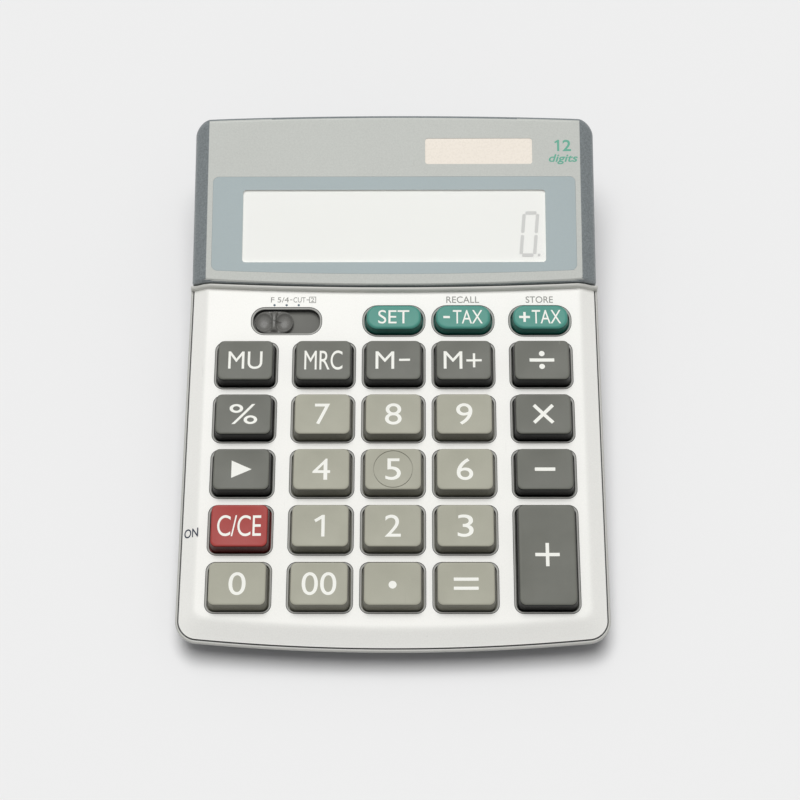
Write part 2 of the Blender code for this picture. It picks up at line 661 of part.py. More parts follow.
# Screw posts at the two back corners of the hood.
hood_post_u = FACE_HALF_WIDTH - HOOD_CORNER
hood_post_v = CASE_BACK - BOTTOM_INSET - 2 * SLEEVE_RADIUS
hood_post_places = [(side * hood_post_u, hood_post_v) for side in (-1, 1)]
hood_post_top = face_height(hood_post_v - POST_RADIUS) - HOOD_WALL / 2
hood_posts = round_bar("hood_posts", hood_post_places, POST_RADIUS, -PARTING_DEPTH, hood_post_top)
combine(display_housing, cutter("hood_posts", hood_posts, panel_frame), "UNION")
hood_pilots = round_bar("hood_pilots", hood_post_places, PILOT_RADIUS, -PARTING_DEPTH - CUT_PAST,
                        -PARTING_DEPTH + SCREW_BITE + FIT_GAP, steps=8)
combine(display_housing, cutter("hood_pilots", hood_pilots, panel_frame), "DIFFERENCE")


def glazing_pocket(name, width, length, corner, centre, view_width, view_length, view_centre):
    """A seat for a window, sunk in the face, with the opening that is seen through."""
    seat = ring(rounded_rectangle(width + 2 * FIT_GAP, length + 2 * FIT_GAP, corner + FIT_GAP), 0.0)
    floor = -WINDOW_THICKNESS - FIT_GAP
    pocket = loft(name + "_seat", [[point + Vector((0, 0, floor)) for point in seat],
                                   [point + Vector((0, 0, CUT_PAST)) for point in seat]])
    combine(display_housing, cutter(name + "_seat", pocket, display_frame, (*centre, 0.0)), "DIFFERENCE")
    view = ring(rounded_rectangle(view_width, view_length, corner / 2), 0.0)
    through = loft(name + "_view", [[point + Vector((0, 0, -HOOD_WALL - CUT_PAST)) for point in view],
                                    [point + Vector((0, 0, CUT_PAST)) for point in view]])
    combine(display_housing, cutter(name + "_view", through, display_frame, (*view_centre, 0.0)),
            "DIFFERENCE")


window_centre = (0.0, WINDOW_START + WINDOW_LENGTH / 2)
view_centre = (0.0, VIEW_START + VIEW_LENGTH / 2)
solar_centre = (SOLAR_CENTRE, SOLAR_START + SOLAR_LENGTH / 2)
solar_view = (SOLAR_WIDTH - 2 * GLAZING_LIP, SOLAR_LENGTH - 2 * GLAZING_LIP)
glazing_pocket("window", WINDOW_WIDTH, WINDOW_LENGTH, WINDOW_CORNER, window_centre,
               VIEW_WIDTH, VIEW_LENGTH, view_centre)
glazing_pocket("solar", SOLAR_WIDTH, SOLAR_LENGTH, SOLAR_CORNER, solar_centre, *solar_view, solar_centre)

tinted_acrylic = make_material("tinted_acrylic", (0.42, 0.50, 0.51), 0.12)
clear_acrylic = make_material("clear_acrylic", (0.85, 0.80, 0.72), 0.10)


def pane(name, width, length, corner, material, centre):
    """A flat window, flush with the display face."""
    outline = rounded_rectangle(width, length, corner)
    mesh = loft(name, [ring(outline, -WINDOW_THICKNESS), ring(outline, 0.0)])
    return piece(name, mesh, material, display_frame, (*centre, 0.0))


pane("display_window", WINDOW_WIDTH, WINDOW_LENGTH, WINDOW_CORNER, tinted_acrylic, window_centre)
pane("solar_window", SOLAR_WIDTH, SOLAR_LENGTH, SOLAR_CORNER, clear_acrylic, solar_centre)


# ---------------------------------------------------------------- display and solar strip

lcd_glass = make_material("lcd_glass", (0.80, 0.82, 0.78), 0.15)
white_plastic = make_material("white_plastic", (0.78, 0.78, 0.76), 0.50)
film = make_material("connector_film", (0.55, 0.40, 0.16), 0.45)
cell_glass = make_material("solar_cell_glass", (0.10, 0.05, 0.05), 0.20)
red_sheath = make_material("red_sheath", (0.55, 0.04, 0.03), 0.45)
black_sheath = make_material("black_sheath", (0.02, 0.02, 0.02), 0.45)

lcd_top = -HOOD_WALL - FIT_GAP
lcd_bottom = lcd_top - LCD_THICKNESS
lcd_half = Vector((VIEW_WIDTH / 2 + LCD_BORDER, VIEW_LENGTH / 2 + LCD_BORDER))
piece("lcd_panel", block("lcd_panel", (-lcd_half.x, -lcd_half.y, lcd_bottom),
                         (lcd_half.x, lcd_half.y, lcd_top)),
      lcd_glass, display_frame, (*view_centre, 0.0))

tray_half = lcd_half + Vector((FIT_GAP + TRAY_WALL, FIT_GAP + TRAY_WALL))
tray_floor = lcd_bottom - FIT_GAP
lcd_holder = piece("lcd_holder", block(
    "lcd_holder", (-tray_half.x, -tray_half.y, tray_floor - TRAY_WALL), (tray_half.x, tray_half.y, lcd_top)),
    white_plastic, display_frame, (*view_centre, 0.0))
tray_pocket = block("tray_pocket", (-lcd_half.x - FIT_GAP, -lcd_half.y - FIT_GAP, tray_floor),
                    (lcd_half.x + FIT_GAP, lcd_half.y + FIT_GAP, lcd_top + CUT_PAST))
combine(lcd_holder, cutter("tray_pocket", tray_pocket, display_frame, (*view_centre, 0.0)), "DIFFERENCE")
notch_half = RIBBON_WIDTH / 2 + FIT_GAP
ribbon_notch = block("ribbon_notch", (-notch_half, -tray_half.y - CUT_PAST,
                                      tray_floor - TRAY_WALL - CUT_PAST),
                     (notch_half, -lcd_half.y, lcd_top + CUT_PAST))
combine(lcd_holder, cutter("ribbon_notch", ribbon_notch, display_frame, (*view_centre, 0.0)), "DIFFERENCE")


def display_to_panel(along, up):
    """A point of the display frame's middle plane, as (v, w) in the panel frame."""
    point = DISPLAY_TO_PANEL @ Vector((0.0, along, up))
    return (point.y, point.z)


ribbon_edge = view_centre[1] - lcd_half.y - FIT_GAP - RIBBON_THICKNESS
ribbon_below = display_to_panel(ribbon_edge, tray_floor - TRAY_WALL)
ribbon_bottom = BOARD_TOP + FIT_GAP + RIBBON_THICKNESS / 2
ribbon_path = [
    display_to_panel(ribbon_edge, lcd_bottom + LCD_THICKNESS / 2),
    ribbon_below,
    (ribbon_below[0] + 0.2 * FIT_GAP, (ribbon_below[1] + ribbon_bottom) / 2),
    (ribbon_below[0] + 2 * FIT_GAP, ribbon_bottom + FIT_GAP),
    (ribbon_below[0] + 5 * FIT_GAP, ribbon_bottom),
    (BOARD_BACK - FIT_GAP, ribbon_bottom),
]
piece("lcd_ribbon", strip("lcd_ribbon", ribbon_path, RIBBON_WIDTH, RIBBON_THICKNESS), film, panel_frame)

cell_half = Vector((SOLAR_WIDTH / 2, SOLAR_LENGTH / 2 + GLAZING_LIP))
cell_bottom = lcd_top - SOLAR_CELL_THICKNESS
piece("solar_cell", block("solar_cell", (-cell_half.x, -cell_half.y, cell_bottom),
                          (cell_half.x, cell_half.y, lcd_top)), cell_glass, display_frame,
      (*solar_centre, 0.0))

wire_low = BOARD_TOP + FIT_GAP + WIRE_RADIUS
wire_pitch = 6 * WIRE_RADIUS
solar_wires = [("solar_wire_red", red_sheath), ("solar_wire_black", black_sheath)]
for order, (wire_name, sheath) in enumerate(solar_wires):
    across = SOLAR_CENTRE + SOLAR_WIDTH / 2 - (order + 1) * wire_pitch
    start_v, start_w = display_to_panel(solar_centre[1], cell_bottom - FIT_GAP - WIRE_RADIUS)
    under_tray = display_to_panel(view_centre[1], tray_floor - TRAY_WALL - 4 * WIRE_RADIUS)
    wire(wire_name, [
        (across, start_v, start_w),
        (across, start_v - 2 * WIRE_RADIUS, start_w - 6 * WIRE_RADIUS),
        (across, (start_v + under_tray[0]) / 2, under_tray[1] - WIRE_RADIUS),
        (across, under_tray[0], (under_tray[1] + wire_low) / 2),
        (across, BOARD_BACK, wire_low + 2 * WIRE_RADIUS),
        (across, BOARD_BACK - 6 * WIRE_RADIUS, wire_low),
    ], sheath, panel_frame)


# ---------------------------------------------------------------- lower case

def lower_outline(inset, radius_cut):
    """Plan of the whole case under the panel and the hood, moved in from the outer edge."""
    return plan_outline(HOOD_HALF_WIDTH - inset, CASE_FRONT + HOOD_SIDE_STEP + inset, CASE_BACK - inset,
                        CASE_CORNER - radius_cut, HOOD_CORNER - radius_cut, FRONT_BOW, -BACK_BOW)


def at_rim(points):
    """Outline on the parting plane, in world axes."""
    return [PANEL_TO_WORLD @ Vector((point.x, point.y, LOWER_RIM)) for point in points]


def at_level(points, height):
    """Outline dropped from the parting plane to one height, in world axes."""
    return [Vector((point.x, point.y, height)) for point in at_rim(points)]


lower_case = piece("lower_case", loft("lower_case", [
    at_level(lower_outline(BOTTOM_INSET + CASE_WALL, CASE_WALL), FLOOR_TOP),
    at_level(lower_outline(BOTTOM_BEVEL + CASE_WALL, CASE_WALL), FLOOR_TOP + BOTTOM_BEVEL),
    at_rim(lower_outline(CASE_WALL, CASE_WALL)),
    at_rim(lower_outline(0.0, 0.0)),
    at_level(lower_outline(BOTTOM_BEVEL, BOTTOM_BEVEL / 2), FLOOR_BOTTOM + BOTTOM_BEVEL),
    at_level(lower_outline(BOTTOM_INSET, BOTTOM_BEVEL / 2), FLOOR_BOTTOM),
]), dark_plastic)


def panel_depth_at_floor(along, height):
    """The panel-frame depth of a world height, under a given place up the panel."""
    rise = PANEL_HEIGHT + along * math.sin(PANEL_TILT) - height
    return -rise / math.cos(PANEL_TILT)


# Hollow screw sleeves stand on the floor, square to the panel, with a counterbore from below.
panel_seat = panel_depth_at_floor(ROWS[4], FLOOR_BOTTOM) + SCREW_RECESS + SCREW_HEAD_HEIGHT
hood_seat = LOWER_RIM - SCREW_BITE
sleeves = [("panel", number, place, panel_seat, post_end - FIT_GAP)
           for number, place in enumerate(post_places)]
sleeves += [("hood", number, place, hood_seat, LOWER_RIM) for number, place in enumerate(hood_post_places)]
for group, number, (across, along), seat, top in sleeves:
    floor_depth = panel_depth_at_floor(along, FLOOR_BOTTOM)
    sleeve = round_bar("sleeve", [(across, along)], SLEEVE_RADIUS, floor_depth + FLOOR_THICKNESS / 2, top)
    combine(lower_case, cutter(f"{group}_sleeve_{number}", sleeve, panel_frame), "UNION")
for group, number, (across, along), seat, top in sleeves:
    floor_depth = panel_depth_at_floor(along, FLOOR_BOTTOM)
    bore = round_bar("bore", [(across, along)], PILOT_RADIUS, floor_depth - CUT_PAST, top + CUT_PAST, steps=8)
    combine(lower_case, cutter(f"{group}_bore_{number}", bore, panel_frame), "DIFFERENCE")
    counterbore = round_bar("counterbore", [(across, along)], SCREW_HEAD_RADIUS + FIT_GAP,
                            floor_depth - SCREW_HEAD_HEIGHT, seat)
    combine(lower_case, cutter(f"{group}_counterbore_{number}", counterbore, panel_frame), "DIFFERENCE")

# Pegs hold the board up off the floor.
for number, (across, along) in enumerate([(side * COLUMNS[3], row) for row in (ROWS[3], ROWS[0])
                                          for side in (-1, 1)]):
    peg = round_bar(f"board_peg_{number}", [(across, along)], PEG_RADIUS,
                    panel_depth_at_floor(along, FLOOR_TOP) - FLOOR_THICKNESS / 2, BOARD_BOTTOM - FIT_GAP,
                    steps=8)
    combine(lower_case, cutter(f"board_peg_{number}", peg, panel_frame), "UNION")

# Battery compartment: a block on the floor, hollowed from below, with a seat for its cover.
cell_room = CELL_RADIUS + 2 * CONTACT_THICKNESS + 3 * FIT_GAP + CONTACT_WIDTH / 2
compartment_half = Vector((cell_room + SCREW_HEAD_RADIUS, CELL_RADIUS + 3 * FIT_GAP))
cover_half = compartment_half + Vector((2 * SCREW_HEAD_RADIUS + 2 * FIT_GAP, CASE_WALL))
cell_side = CELL_RADIUS + 2 * FIT_GAP
compartment_centre = Vector((-RIBBON_WIDTH / 2 - cell_side - 4 * WIRE_RADIUS,
                             PANEL_SHIFT + BOARD_BACK + cover_half.y))
pocket_roof = FLOOR_BOTTOM + COVER_THICKNESS + 2 * FIT_GAP + CELL_HEIGHT + 3 * FIT_GAP + CONTACT_THICKNESS
compartment_top = pocket_roof + CASE_WALL
block_half = cover_half + Vector((CASE_WALL, CASE_WALL))
battery_block = block("battery_block", (-block_half.x, -block_half.y, FLOOR_BOTTOM + FLOOR_THICKNESS / 2),
                      (block_half.x, block_half.y, compartment_top))
combine(lower_case, cutter("battery_block", battery_block, None, (*compartment_centre, 0.0)), "UNION")
cover_seat = block("cover_seat", (-cover_half.x, -cover_half.y, FLOOR_BOTTOM - CUT_PAST),
                   (cover_half.x, cover_half.y, FLOOR_BOTTOM + COVER_THICKNESS + FIT_GAP))
combine(lower_case, cutter("cover_seat", cover_seat, None, (*compartment_centre, 0.0)), "DIFFERENCE")
screw_room = 2 * SCREW_HEAD_RADIUS + FIT_GAP
cell_pocket = block("cell_pocket", (-compartment_half.x, -compartment_half.y, FLOOR_BOTTOM),
                    (compartment_half.x, compartment_half.y, pocket_roof))
combine(lower_case, cutter("cell_pocket", cell_pocket, None, (*compartment_centre, 0.0)), "DIFFERENCE")

positive_x = -cell_side
negative_x = cell_side
slit_half = Vector((CONTACT_THICKNESS / 2 + FIT_GAP, CONTACT_WIDTH / 2 + FIT_GAP))
for label, across in (("positive", positive_x), ("negative", negative_x)):
    slit = block(label + "_slit", (-slit_half.x, -slit_half.y, pocket_roof - CUT_PAST),
                 (slit_half.x, slit_half.y, compartment_top + CUT_PAST))
    place = (compartment_centre.x + across, compartment_centre.y, 0.0)
    combine(lower_case, cutter(label + "_slit", slit, None, place), "DIFFERENCE")

screw_across = compartment_half.x + screw_room / 2
cover_bore = round_bar("cover_bore", [(screw_across, 0.0)], PILOT_RADIUS, FLOOR_BOTTOM,
                       FLOOR_BOTTOM + COVER_THICKNESS + SCREW_BITE, steps=8)
combine(lower_case, cutter("cover_bore", cover_bore, None, (*compartment_centre, 0.0)), "DIFFERENCE")

# Feet sit in shallow round seats.
foot_front = (PANEL_TO_WORLD @ Vector((0.0, ROWS[4], 0.0))).y
foot_back = (PANEL_TO_WORLD @ Vector((0.0, CASE_BACK - BOTTOM_INSET - 2 * FOOT_RADIUS, 0.0))).y
foot_places = [(side * COLUMNS[4], along) for along in (foot_front, foot_back) for side in (-1, 1)]
foot_seats = round_bar("foot_seats", foot_places, FOOT_RADIUS + FIT_GAP, FLOOR_BOTTOM - CUT_PAST,
                       FLOOR_BOTTOM + FOOT_SEAT)
combine(lower_case, cutter("foot_seats", foot_seats), "DIFFERENCE")

foot_rubber = make_material("foot_rubber", (0.03, 0.03, 0.03), 0.80)
for foot_name, (across, along) in zip(("foot_front_left", "foot_front_right", "foot_back_left",
                                       "foot_back_right"), foot_places):
    foot_top = FLOOR_BOTTOM + FOOT_SEAT - FIT_GAP
    foot = lathe(foot_name, [(0.0, foot_top), (FOOT_RADIUS, foot_top), (FOOT_RADIUS, FIT_GAP),
                             (FOOT_RADIUS - FIT_GAP, 0.0), (0.0, 0.0)])
    foot.data.materials.append(foot_rubber)
    put(foot, parts, None, (across, along, 0.0))
    smooth(foot)


# ---------------------------------------------------------------- screws

screw_steel = make_material("screw_steel", (0.50, 0.50, 0.52), 0.30, 1.0)


def screw(name, across, along, head_top, tip, parent):
    """A pan head screw, tip up: the head's top faces down, out of the case."""
    seat = head_top + SCREW_HEAD_HEIGHT
    profile = [(0.0, tip), (SCREW_RADIUS * 0.5, tip), (SCREW_RADIUS, tip - SCREW_RADIUS),
               (SCREW_RADIUS, seat), (SCREW_HEAD_RADIUS, seat), (SCREW_HEAD_RADIUS, head_top + FIT_GAP),
               (SCREW_HEAD_RADIUS - FIT_GAP, head_top), (0.0, head_top)]
    turned = lathe(name, profile, 12)
    turned.data.materials.append(screw_steel)
    put(turned, parts, parent, (across, along, 0.0))
    smooth(turned)


for number, (across, along) in enumerate(post_places, 1):
    screw(f"case_screw_{number}", across, along, panel_seat - FIT_GAP - SCREW_HEAD_HEIGHT,
          pilot_top - FIT_GAP, panel_frame)
for number, (across, along) in enumerate(hood_post_places, 1):
    screw(f"housing_screw_{number}", across, along, hood_seat - FIT_GAP - SCREW_HEAD_HEIGHT,
          -PARTING_DEPTH + SCREW_BITE, panel_frame)


# ---------------------------------------------------------------- battery

nickel = make_material("nickel", (0.66, 0.64, 0.58), 0.28, 1.0)

cover_gap = Vector((FIT_GAP, FIT_GAP))
cover_size = cover_half - cover_gap
battery_cover = piece("battery_cover", block(
    "battery_cover", (-cover_size.x, -cover_size.y, FLOOR_BOTTOM),
    (cover_size.x, cover_size.y, FLOOR_BOTTOM + COVER_THICKNESS)), dark_plastic, None,
    (*compartment_centre, 0.0))
cover_hole = round_bar("cover_hole", [(screw_across, 0.0)], PILOT_RADIUS, FLOOR_BOTTOM - CUT_PAST,
                       FLOOR_BOTTOM + COVER_THICKNESS + CUT_PAST)
combine(battery_cover, cutter("cover_hole", cover_hole, None, (*compartment_centre, 0.0)), "DIFFERENCE")
head_seat = FLOOR_BOTTOM + COVER_THICKNESS / 2
cover_counterbore = round_bar("cover_counterbore", [(screw_across, 0.0)], SCREW_HEAD_RADIUS + FIT_GAP,
                              FLOOR_BOTTOM - CUT_PAST, head_seat)
combine(battery_cover, cutter("cover_counterbore", cover_counterbore, None, (*compartment_centre, 0.0)),
        "DIFFERENCE")
screw("battery_screw", compartment_centre.x + screw_across, compartment_centre.y,
      head_seat - FIT_GAP - SCREW_HEAD_HEIGHT, FLOOR_BOTTOM + COVER_THICKNESS + SCREW_BITE - FIT_GAP, None)

cell_low = FLOOR_BOTTOM + COVER_THICKNESS + 2 * FIT_GAP
cell_high = cell_low + CELL_HEIGHT
battery_cell = lathe("battery_cell", [
    (0.0, cell_high), (CELL_RADIUS * 0.75, cell_high), (CELL_RADIUS * 0.78, cell_high - 2 * FIT_GAP),
    (CELL_RADIUS - FIT_GAP, cell_high - 3 * FIT_GAP), (CELL_RADIUS, cell_high - 4 * FIT_GAP),
    (CELL_RADIUS, cell_low + FIT_GAP), (CELL_RADIUS - FIT_GAP, cell_low), (0.0, cell_low)], 24)
battery_cell.data.materials.append(nickel)
put(battery_cell, parts, None, (*compartment_centre, 0.0))
smooth(battery_cell)

contact_top = compartment_top + 4 * WIRE_RADIUS
turn = Matrix.Rotation(math.radians(90), 4, "Z")
positive_path = [(0.0, cell_low), (0.0, (cell_low + cell_high) / 2), (0.0, contact_top)]
positive = strip("battery_contact_positive", positive_path, CONTACT_WIDTH, CONTACT_THICKNESS)
positive.transform(turn)
piece("battery_contact_positive", positive, spring_steel, None,
      (compartment_centre.x + positive_x, compartment_centre.y, 0.0))
leaf_height = cell_high + FIT_GAP + CONTACT_THICKNESS
negative_path = [(0.0, contact_top), (0.0, leaf_height), (2 * FIT_GAP, leaf_height - FIT_GAP / 2),
                 (negative_x, leaf_height - FIT_GAP / 2)]
negative = strip("battery_contact_negative", negative_path, CONTACT_WIDTH, CONTACT_THICKNESS)
negative.transform(turn)
piece("battery_contact_negative", negative, spring_steel, None,
      (compartment_centre.x + negative_x, compartment_centre.y, 0.0))

board_edge = PANEL_TO_WORLD @ Vector((0.0, BOARD_BACK, wire_low))
for wire_name, across, sheath in (("battery_wire_red", positive_x, red_sheath),
                                  ("battery_wire_black", negative_x, black_sheath)):
    across += compartment_centre.x
    start_height = contact_top + FIT_GAP + WIRE_RADIUS
    arch = board_edge.z + 4 * WIRE_RADIUS
    wire(wire_name, [
        (across, compartment_centre.y, start_height),
        (across, compartment_centre.y - WIRE_RADIUS, (start_height + arch) / 2),
        (across, (compartment_centre.y + board_edge.y) / 2, arch),
        (across, board_edge.y, arch - 2 * WIRE_RADIUS),
        (across, board_edge.y - 6 * WIRE_RADIUS, board_edge.z),
    ], sheath)
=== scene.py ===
import json
import math

import bmesh
import bpy
from mathutils import Matrix, Vector


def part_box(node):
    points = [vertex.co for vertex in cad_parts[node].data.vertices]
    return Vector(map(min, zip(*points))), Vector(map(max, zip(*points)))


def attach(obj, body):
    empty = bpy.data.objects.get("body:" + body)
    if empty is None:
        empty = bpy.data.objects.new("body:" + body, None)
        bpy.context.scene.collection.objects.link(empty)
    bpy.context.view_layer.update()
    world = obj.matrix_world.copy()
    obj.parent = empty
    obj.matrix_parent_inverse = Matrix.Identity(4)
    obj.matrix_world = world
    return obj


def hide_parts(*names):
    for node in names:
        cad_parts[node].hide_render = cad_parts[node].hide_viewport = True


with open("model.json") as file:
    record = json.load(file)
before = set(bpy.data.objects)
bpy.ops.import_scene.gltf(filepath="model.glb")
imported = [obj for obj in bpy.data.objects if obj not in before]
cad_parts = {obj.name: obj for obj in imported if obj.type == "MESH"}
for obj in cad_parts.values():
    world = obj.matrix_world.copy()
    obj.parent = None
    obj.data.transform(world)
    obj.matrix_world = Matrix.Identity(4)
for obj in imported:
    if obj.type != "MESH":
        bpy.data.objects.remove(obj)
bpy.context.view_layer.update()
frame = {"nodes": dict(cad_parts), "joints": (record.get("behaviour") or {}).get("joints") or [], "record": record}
mm = 0.001


# ---------------------------------------------------------------- key panel
# The upper half of the case: one silver-painted moulding with a soft slope down each side and
# across the front, a thin bead round its edge, and a chamfered opening with a fine groove round
# every key. A low riser along its back edge closes the gap under the display hood.

press = frame["joints"][0]["axis"]
panel_turn = Matrix.Rotation(math.atan2(press[1], -press[2]), 4, "X")


def spread(node, turn):
    """Lowest and highest corner of a CAD piece, measured along turned axes."""
    back = turn.inverted()
    points = [back @ vertex.co for vertex in frame["nodes"][node].data.vertices]
    return (Vector([min(point[axis] for point in points) for axis in range(3)]),
            Vector([max(point[axis] for point in points) for axis in range(3)]))


key_rise = 4.2 * mm
pill_rise = 3.0 * mm
middle_low, middle_high = spread("key_5", panel_turn)
panel = panel_turn @ Matrix.Translation((0.0, (middle_low.y + middle_high.y) / 2, middle_high.z - key_rise))
to_panel = panel.inverted()


def panel_box(node):
    """Lowest and highest corner of a CAD piece, measured from the middle of the key panel."""
    shift = to_panel @ panel_turn
    low, high = spread(node, panel_turn)
    return shift @ low, shift @ high


def arc(middle, radius, quarter, steps):
    """One of four quarter turns of points, anticlockwise, the first of them at the front right."""
    angles = [math.radians(90) * (quarter - 1 + step / steps) for step in range(steps + 1)]
    return [middle + radius * Vector((math.cos(angle), math.sin(angle))) for angle in angles]


def circle(radius, steps, middle=Vector((0.0, 0.0))):
    """A round outline about a middle."""
    return [Vector((middle.x + radius * math.cos(angle), middle.y + radius * math.sin(angle)))
            for angle in [2 * math.pi * step / steps for step in range(steps)]]


def plan(half_width, front, back, front_radius, back_radius, front_bow, back_bow, corner=14, along=36):
    """An outline seen from above: straight sides, rounded corners, front and back edges bowed."""
    points = []
    for quarter, (side, edge, radius) in enumerate(((1, front, front_radius), (1, back, back_radius),
                                                    (-1, back, back_radius), (-1, front, front_radius))):
        middle = Vector((side * (half_width - radius), edge + (radius if edge == front else -radius)))
        points += arc(middle, radius, quarter, corner)
        if quarter in (1, 3):
            reach = (half_width - radius) * (1 if quarter == 1 else -1)
            points += [Vector((reach * (1 - 2 * step / along), edge)) for step in range(1, along)]
    for point in points:
        point.y += (front_bow if point.y < (front + back) / 2 else back_bow) * (point.x / half_width) ** 2
    return points


def rounded(width, depth, radius, steps=9, middle=Vector((0.0, 0.0))):
    """A rounded rectangle about a middle, anticlockwise."""
    reach = Vector((width / 2 - radius, depth / 2 - radius))
    return [point for quarter, side in enumerate([(1, -1), (1, 1), (-1, 1), (-1, -1)])
            for point in arc(middle + reach * Vector(side), radius, quarter, steps)]


def level(points, height):
    """An outline lifted to one height."""
    return [Vector((point.x, point.y, height)) for point in points]


def skin(rings, finishes=None, closed_round=False, mesh=None):
    """Walls between outlines, capped at both ends or joined end to start, in a new mesh or added to one."""
    if mesh is None:
        mesh = bpy.data.meshes.new("skin")
    work = bmesh.new()
    rows = [[work.verts.new(point) for point in points] for points in rings]
    count = len(rings[0])
    pairs = list(zip(rows, rows[1:]))
    if closed_round:
        pairs.append((rows[-1], rows[0]))
    for band, (lower, upper) in enumerate(pairs):
        for here in range(count):
            after = (here + 1) % count
            face = work.faces.new((lower[here], lower[after], upper[after], upper[here]))
            face.material_index = finishes[band] if finishes else 0
            face.smooth = True
    if not closed_round:
        work.faces.new(list(reversed(rows[0]))).material_index = finishes[0] if finishes else 0
        work.faces.new(rows[-1]).material_index = finishes[-1] if finishes else 0
    bmesh.ops.recalc_face_normals(work, faces=work.faces)
    grown = bmesh.new()
    grown.from_mesh(mesh)
    piece = bpy.data.meshes.new("band")
    work.to_mesh(piece)
    grown.from_mesh(piece)
    grown.to_mesh(mesh)
    bpy.data.meshes.remove(piece)
    grown.free()
    work.free()
    return mesh


def slab(outline, low, high, mesh=None):
    """A flat outline as a closed solid between two heights, in a new mesh or added to one."""
    return skin([level(outline, low), level(outline, high)], mesh=mesh)


def show(name, mesh, finishes):
    """Put a mesh in the scene with its finishes."""
    thing = bpy.data.objects.new(name, mesh)
    bpy.context.scene.collection.objects.link(thing)
    for finish in finishes:
        mesh.materials.append(finish)
    return thing


def settle(thing, place):
    """Move a piece's mesh to its place, leaving the piece itself at the origin."""
    thing.data.transform(place)
    thing.matrix_world = Matrix.Identity(4)
    return thing


def take(thing, tool, operation="DIFFERENCE", finish_from_tool=True):
    """Cut one closed shape with another, or join them, and drop the tool."""
    modifier = thing.modifiers.new(operation.lower(), "BOOLEAN")
    modifier.operation = operation
    modifier.object = tool
    modifier.solver = "EXACT"
    modifier.use_self = False
    modifier.material_mode = "TRANSFER" if finish_from_tool else "INDEX"
    bpy.context.view_layer.update()
    result = bpy.data.meshes.new_from_object(thing.evaluated_get(bpy.context.evaluated_depsgraph_get()))
    thing.modifiers.clear()
    old = thing.data
    thing.data = result
    result.name = old.name
    bpy.data.meshes.remove(old)
    bpy.data.objects.remove(tool)
    return thing


def carve(thing, mesh, finish, operation="DIFFERENCE", place=Matrix.Identity(4)):
    """Cut a piece with the solid in a mesh, or join them, once the solid is moved to its place."""
    mesh.transform(place)
    return take(thing, show("tool", mesh, [finish]), operation)


def soften(thing, degrees=28):
    """Smooth shading, kept crisp at real edges."""
    for polygon in thing.data.polygons:
        polygon.use_smooth = True
    thing.data.set_sharp_from_angle(angle=math.radians(degrees))
    return thing


def node_group(name, kind, inputs, outputs):
    """An empty node group with named sockets."""
    group = bpy.data.node_groups.new(name, kind)
    for label, socket_kind, *value in inputs:
        socket = group.interface.new_socket(label, in_out="INPUT", socket_type="NodeSocket" + socket_kind)
        if value:
            socket.default_value = value[0]
    for label, socket_kind in outputs:
        group.interface.new_socket(label, in_out="OUTPUT", socket_type="NodeSocket" + socket_kind)
    return group, group.nodes.new("NodeGroupInput").outputs, group.nodes.new("NodeGroupOutput")


def fill(tree, node, inputs):
    """Each named input of a node gets its value, or a link from an output."""
    for socket, value in inputs.items():
        if isinstance(value, bpy.types.NodeSocket):
            tree.links.new(value, node.inputs[socket])
        else:
            node.inputs[socket].default_value = value
    return node


def add(tree, kind, inputs, **settings):
    """A new node with its settings and inputs; gives back its outputs."""
    node = tree.nodes.new(kind)
    for setting, value in settings.items():
        setattr(node, setting, value)
    return fill(tree, node, inputs).outputs


def maths(tree, operation, first, second=None):
    """One sum of numbers or outputs."""
    return add(tree, "ShaderNodeMath", {0: first} if second is None else {0: first, 1: second},
               operation=operation)[0]


def speckle_group():
    """Fine speckle: a tone that wanders about one, and a height for the bump."""
    group, given, out = node_group("speckle", "ShaderNodeTree", [
        ("Grain per metre", "Float", 4000.0), ("Contrast", "Float", 0.1),
        ("Cloud per metre", "Float", 40.0), ("Cloud contrast", "Float", 0.04)],
        [("Tone", "Float"), ("Height", "Float")])
    where = add(group, "ShaderNodeTexCoord", {})["Object"]
    grain, cloud = [add(group, "ShaderNodeTexNoise", {"Vector": where, "Scale": given[scale],
                                                      "Detail": detail})["Fac"]
                    for scale, detail in (("Grain per metre", 2.0), ("Cloud per metre", 3.0))]
    swings = [maths(group, "MULTIPLY", maths(group, "SUBTRACT", noise, 0.5), given[contrast])
              for noise, contrast in ((grain, "Contrast"), (cloud, "Cloud contrast"))]
    fill(group, out, {"Tone": maths(group, "ADD", maths(group, "ADD", *swings), 1.0), "Height": grain})
    return group


def scuff_group():
    """Hairline scuffs: thin stretched streaks, kept to a few patches, as a mask."""
    group, given, out = node_group("scuffs", "ShaderNodeTree", [
        ("Streaks per metre", "Float", 900.0), ("Patches per metre", "Float", 45.0),
        ("Amount", "Float", 0.5)], [("Mask", "Float")])
    where = add(group, "ShaderNodeTexCoord", {})["Object"]
    turned = add(group, "ShaderNodeMapping", {"Vector": where, "Rotation": (0.0, 0.0, math.radians(37)),
                                              "Scale": (1.0, 0.05, 1.0)})["Vector"]
    mask = given["Amount"]
    for place, scale, detail, low, high in ((turned, "Streaks per metre", 1.0, 0.70, 0.78),
                                            (where, "Patches per metre", 2.0, 0.56, 0.66)):
        noise = add(group, "ShaderNodeTexNoise", {"Vector": place, "Scale": given[scale],
                                                  "Detail": detail})["Fac"]
        few = add(group, "ShaderNodeMapRange", {"Value": noise, "From Min": low, "From Max": high})["Result"]
        mask = maths(group, "MULTIPLY", mask, few)
    fill(group, out, {"Mask": mask})
    return group


speckle = speckle_group()
scuffs = scuff_group()


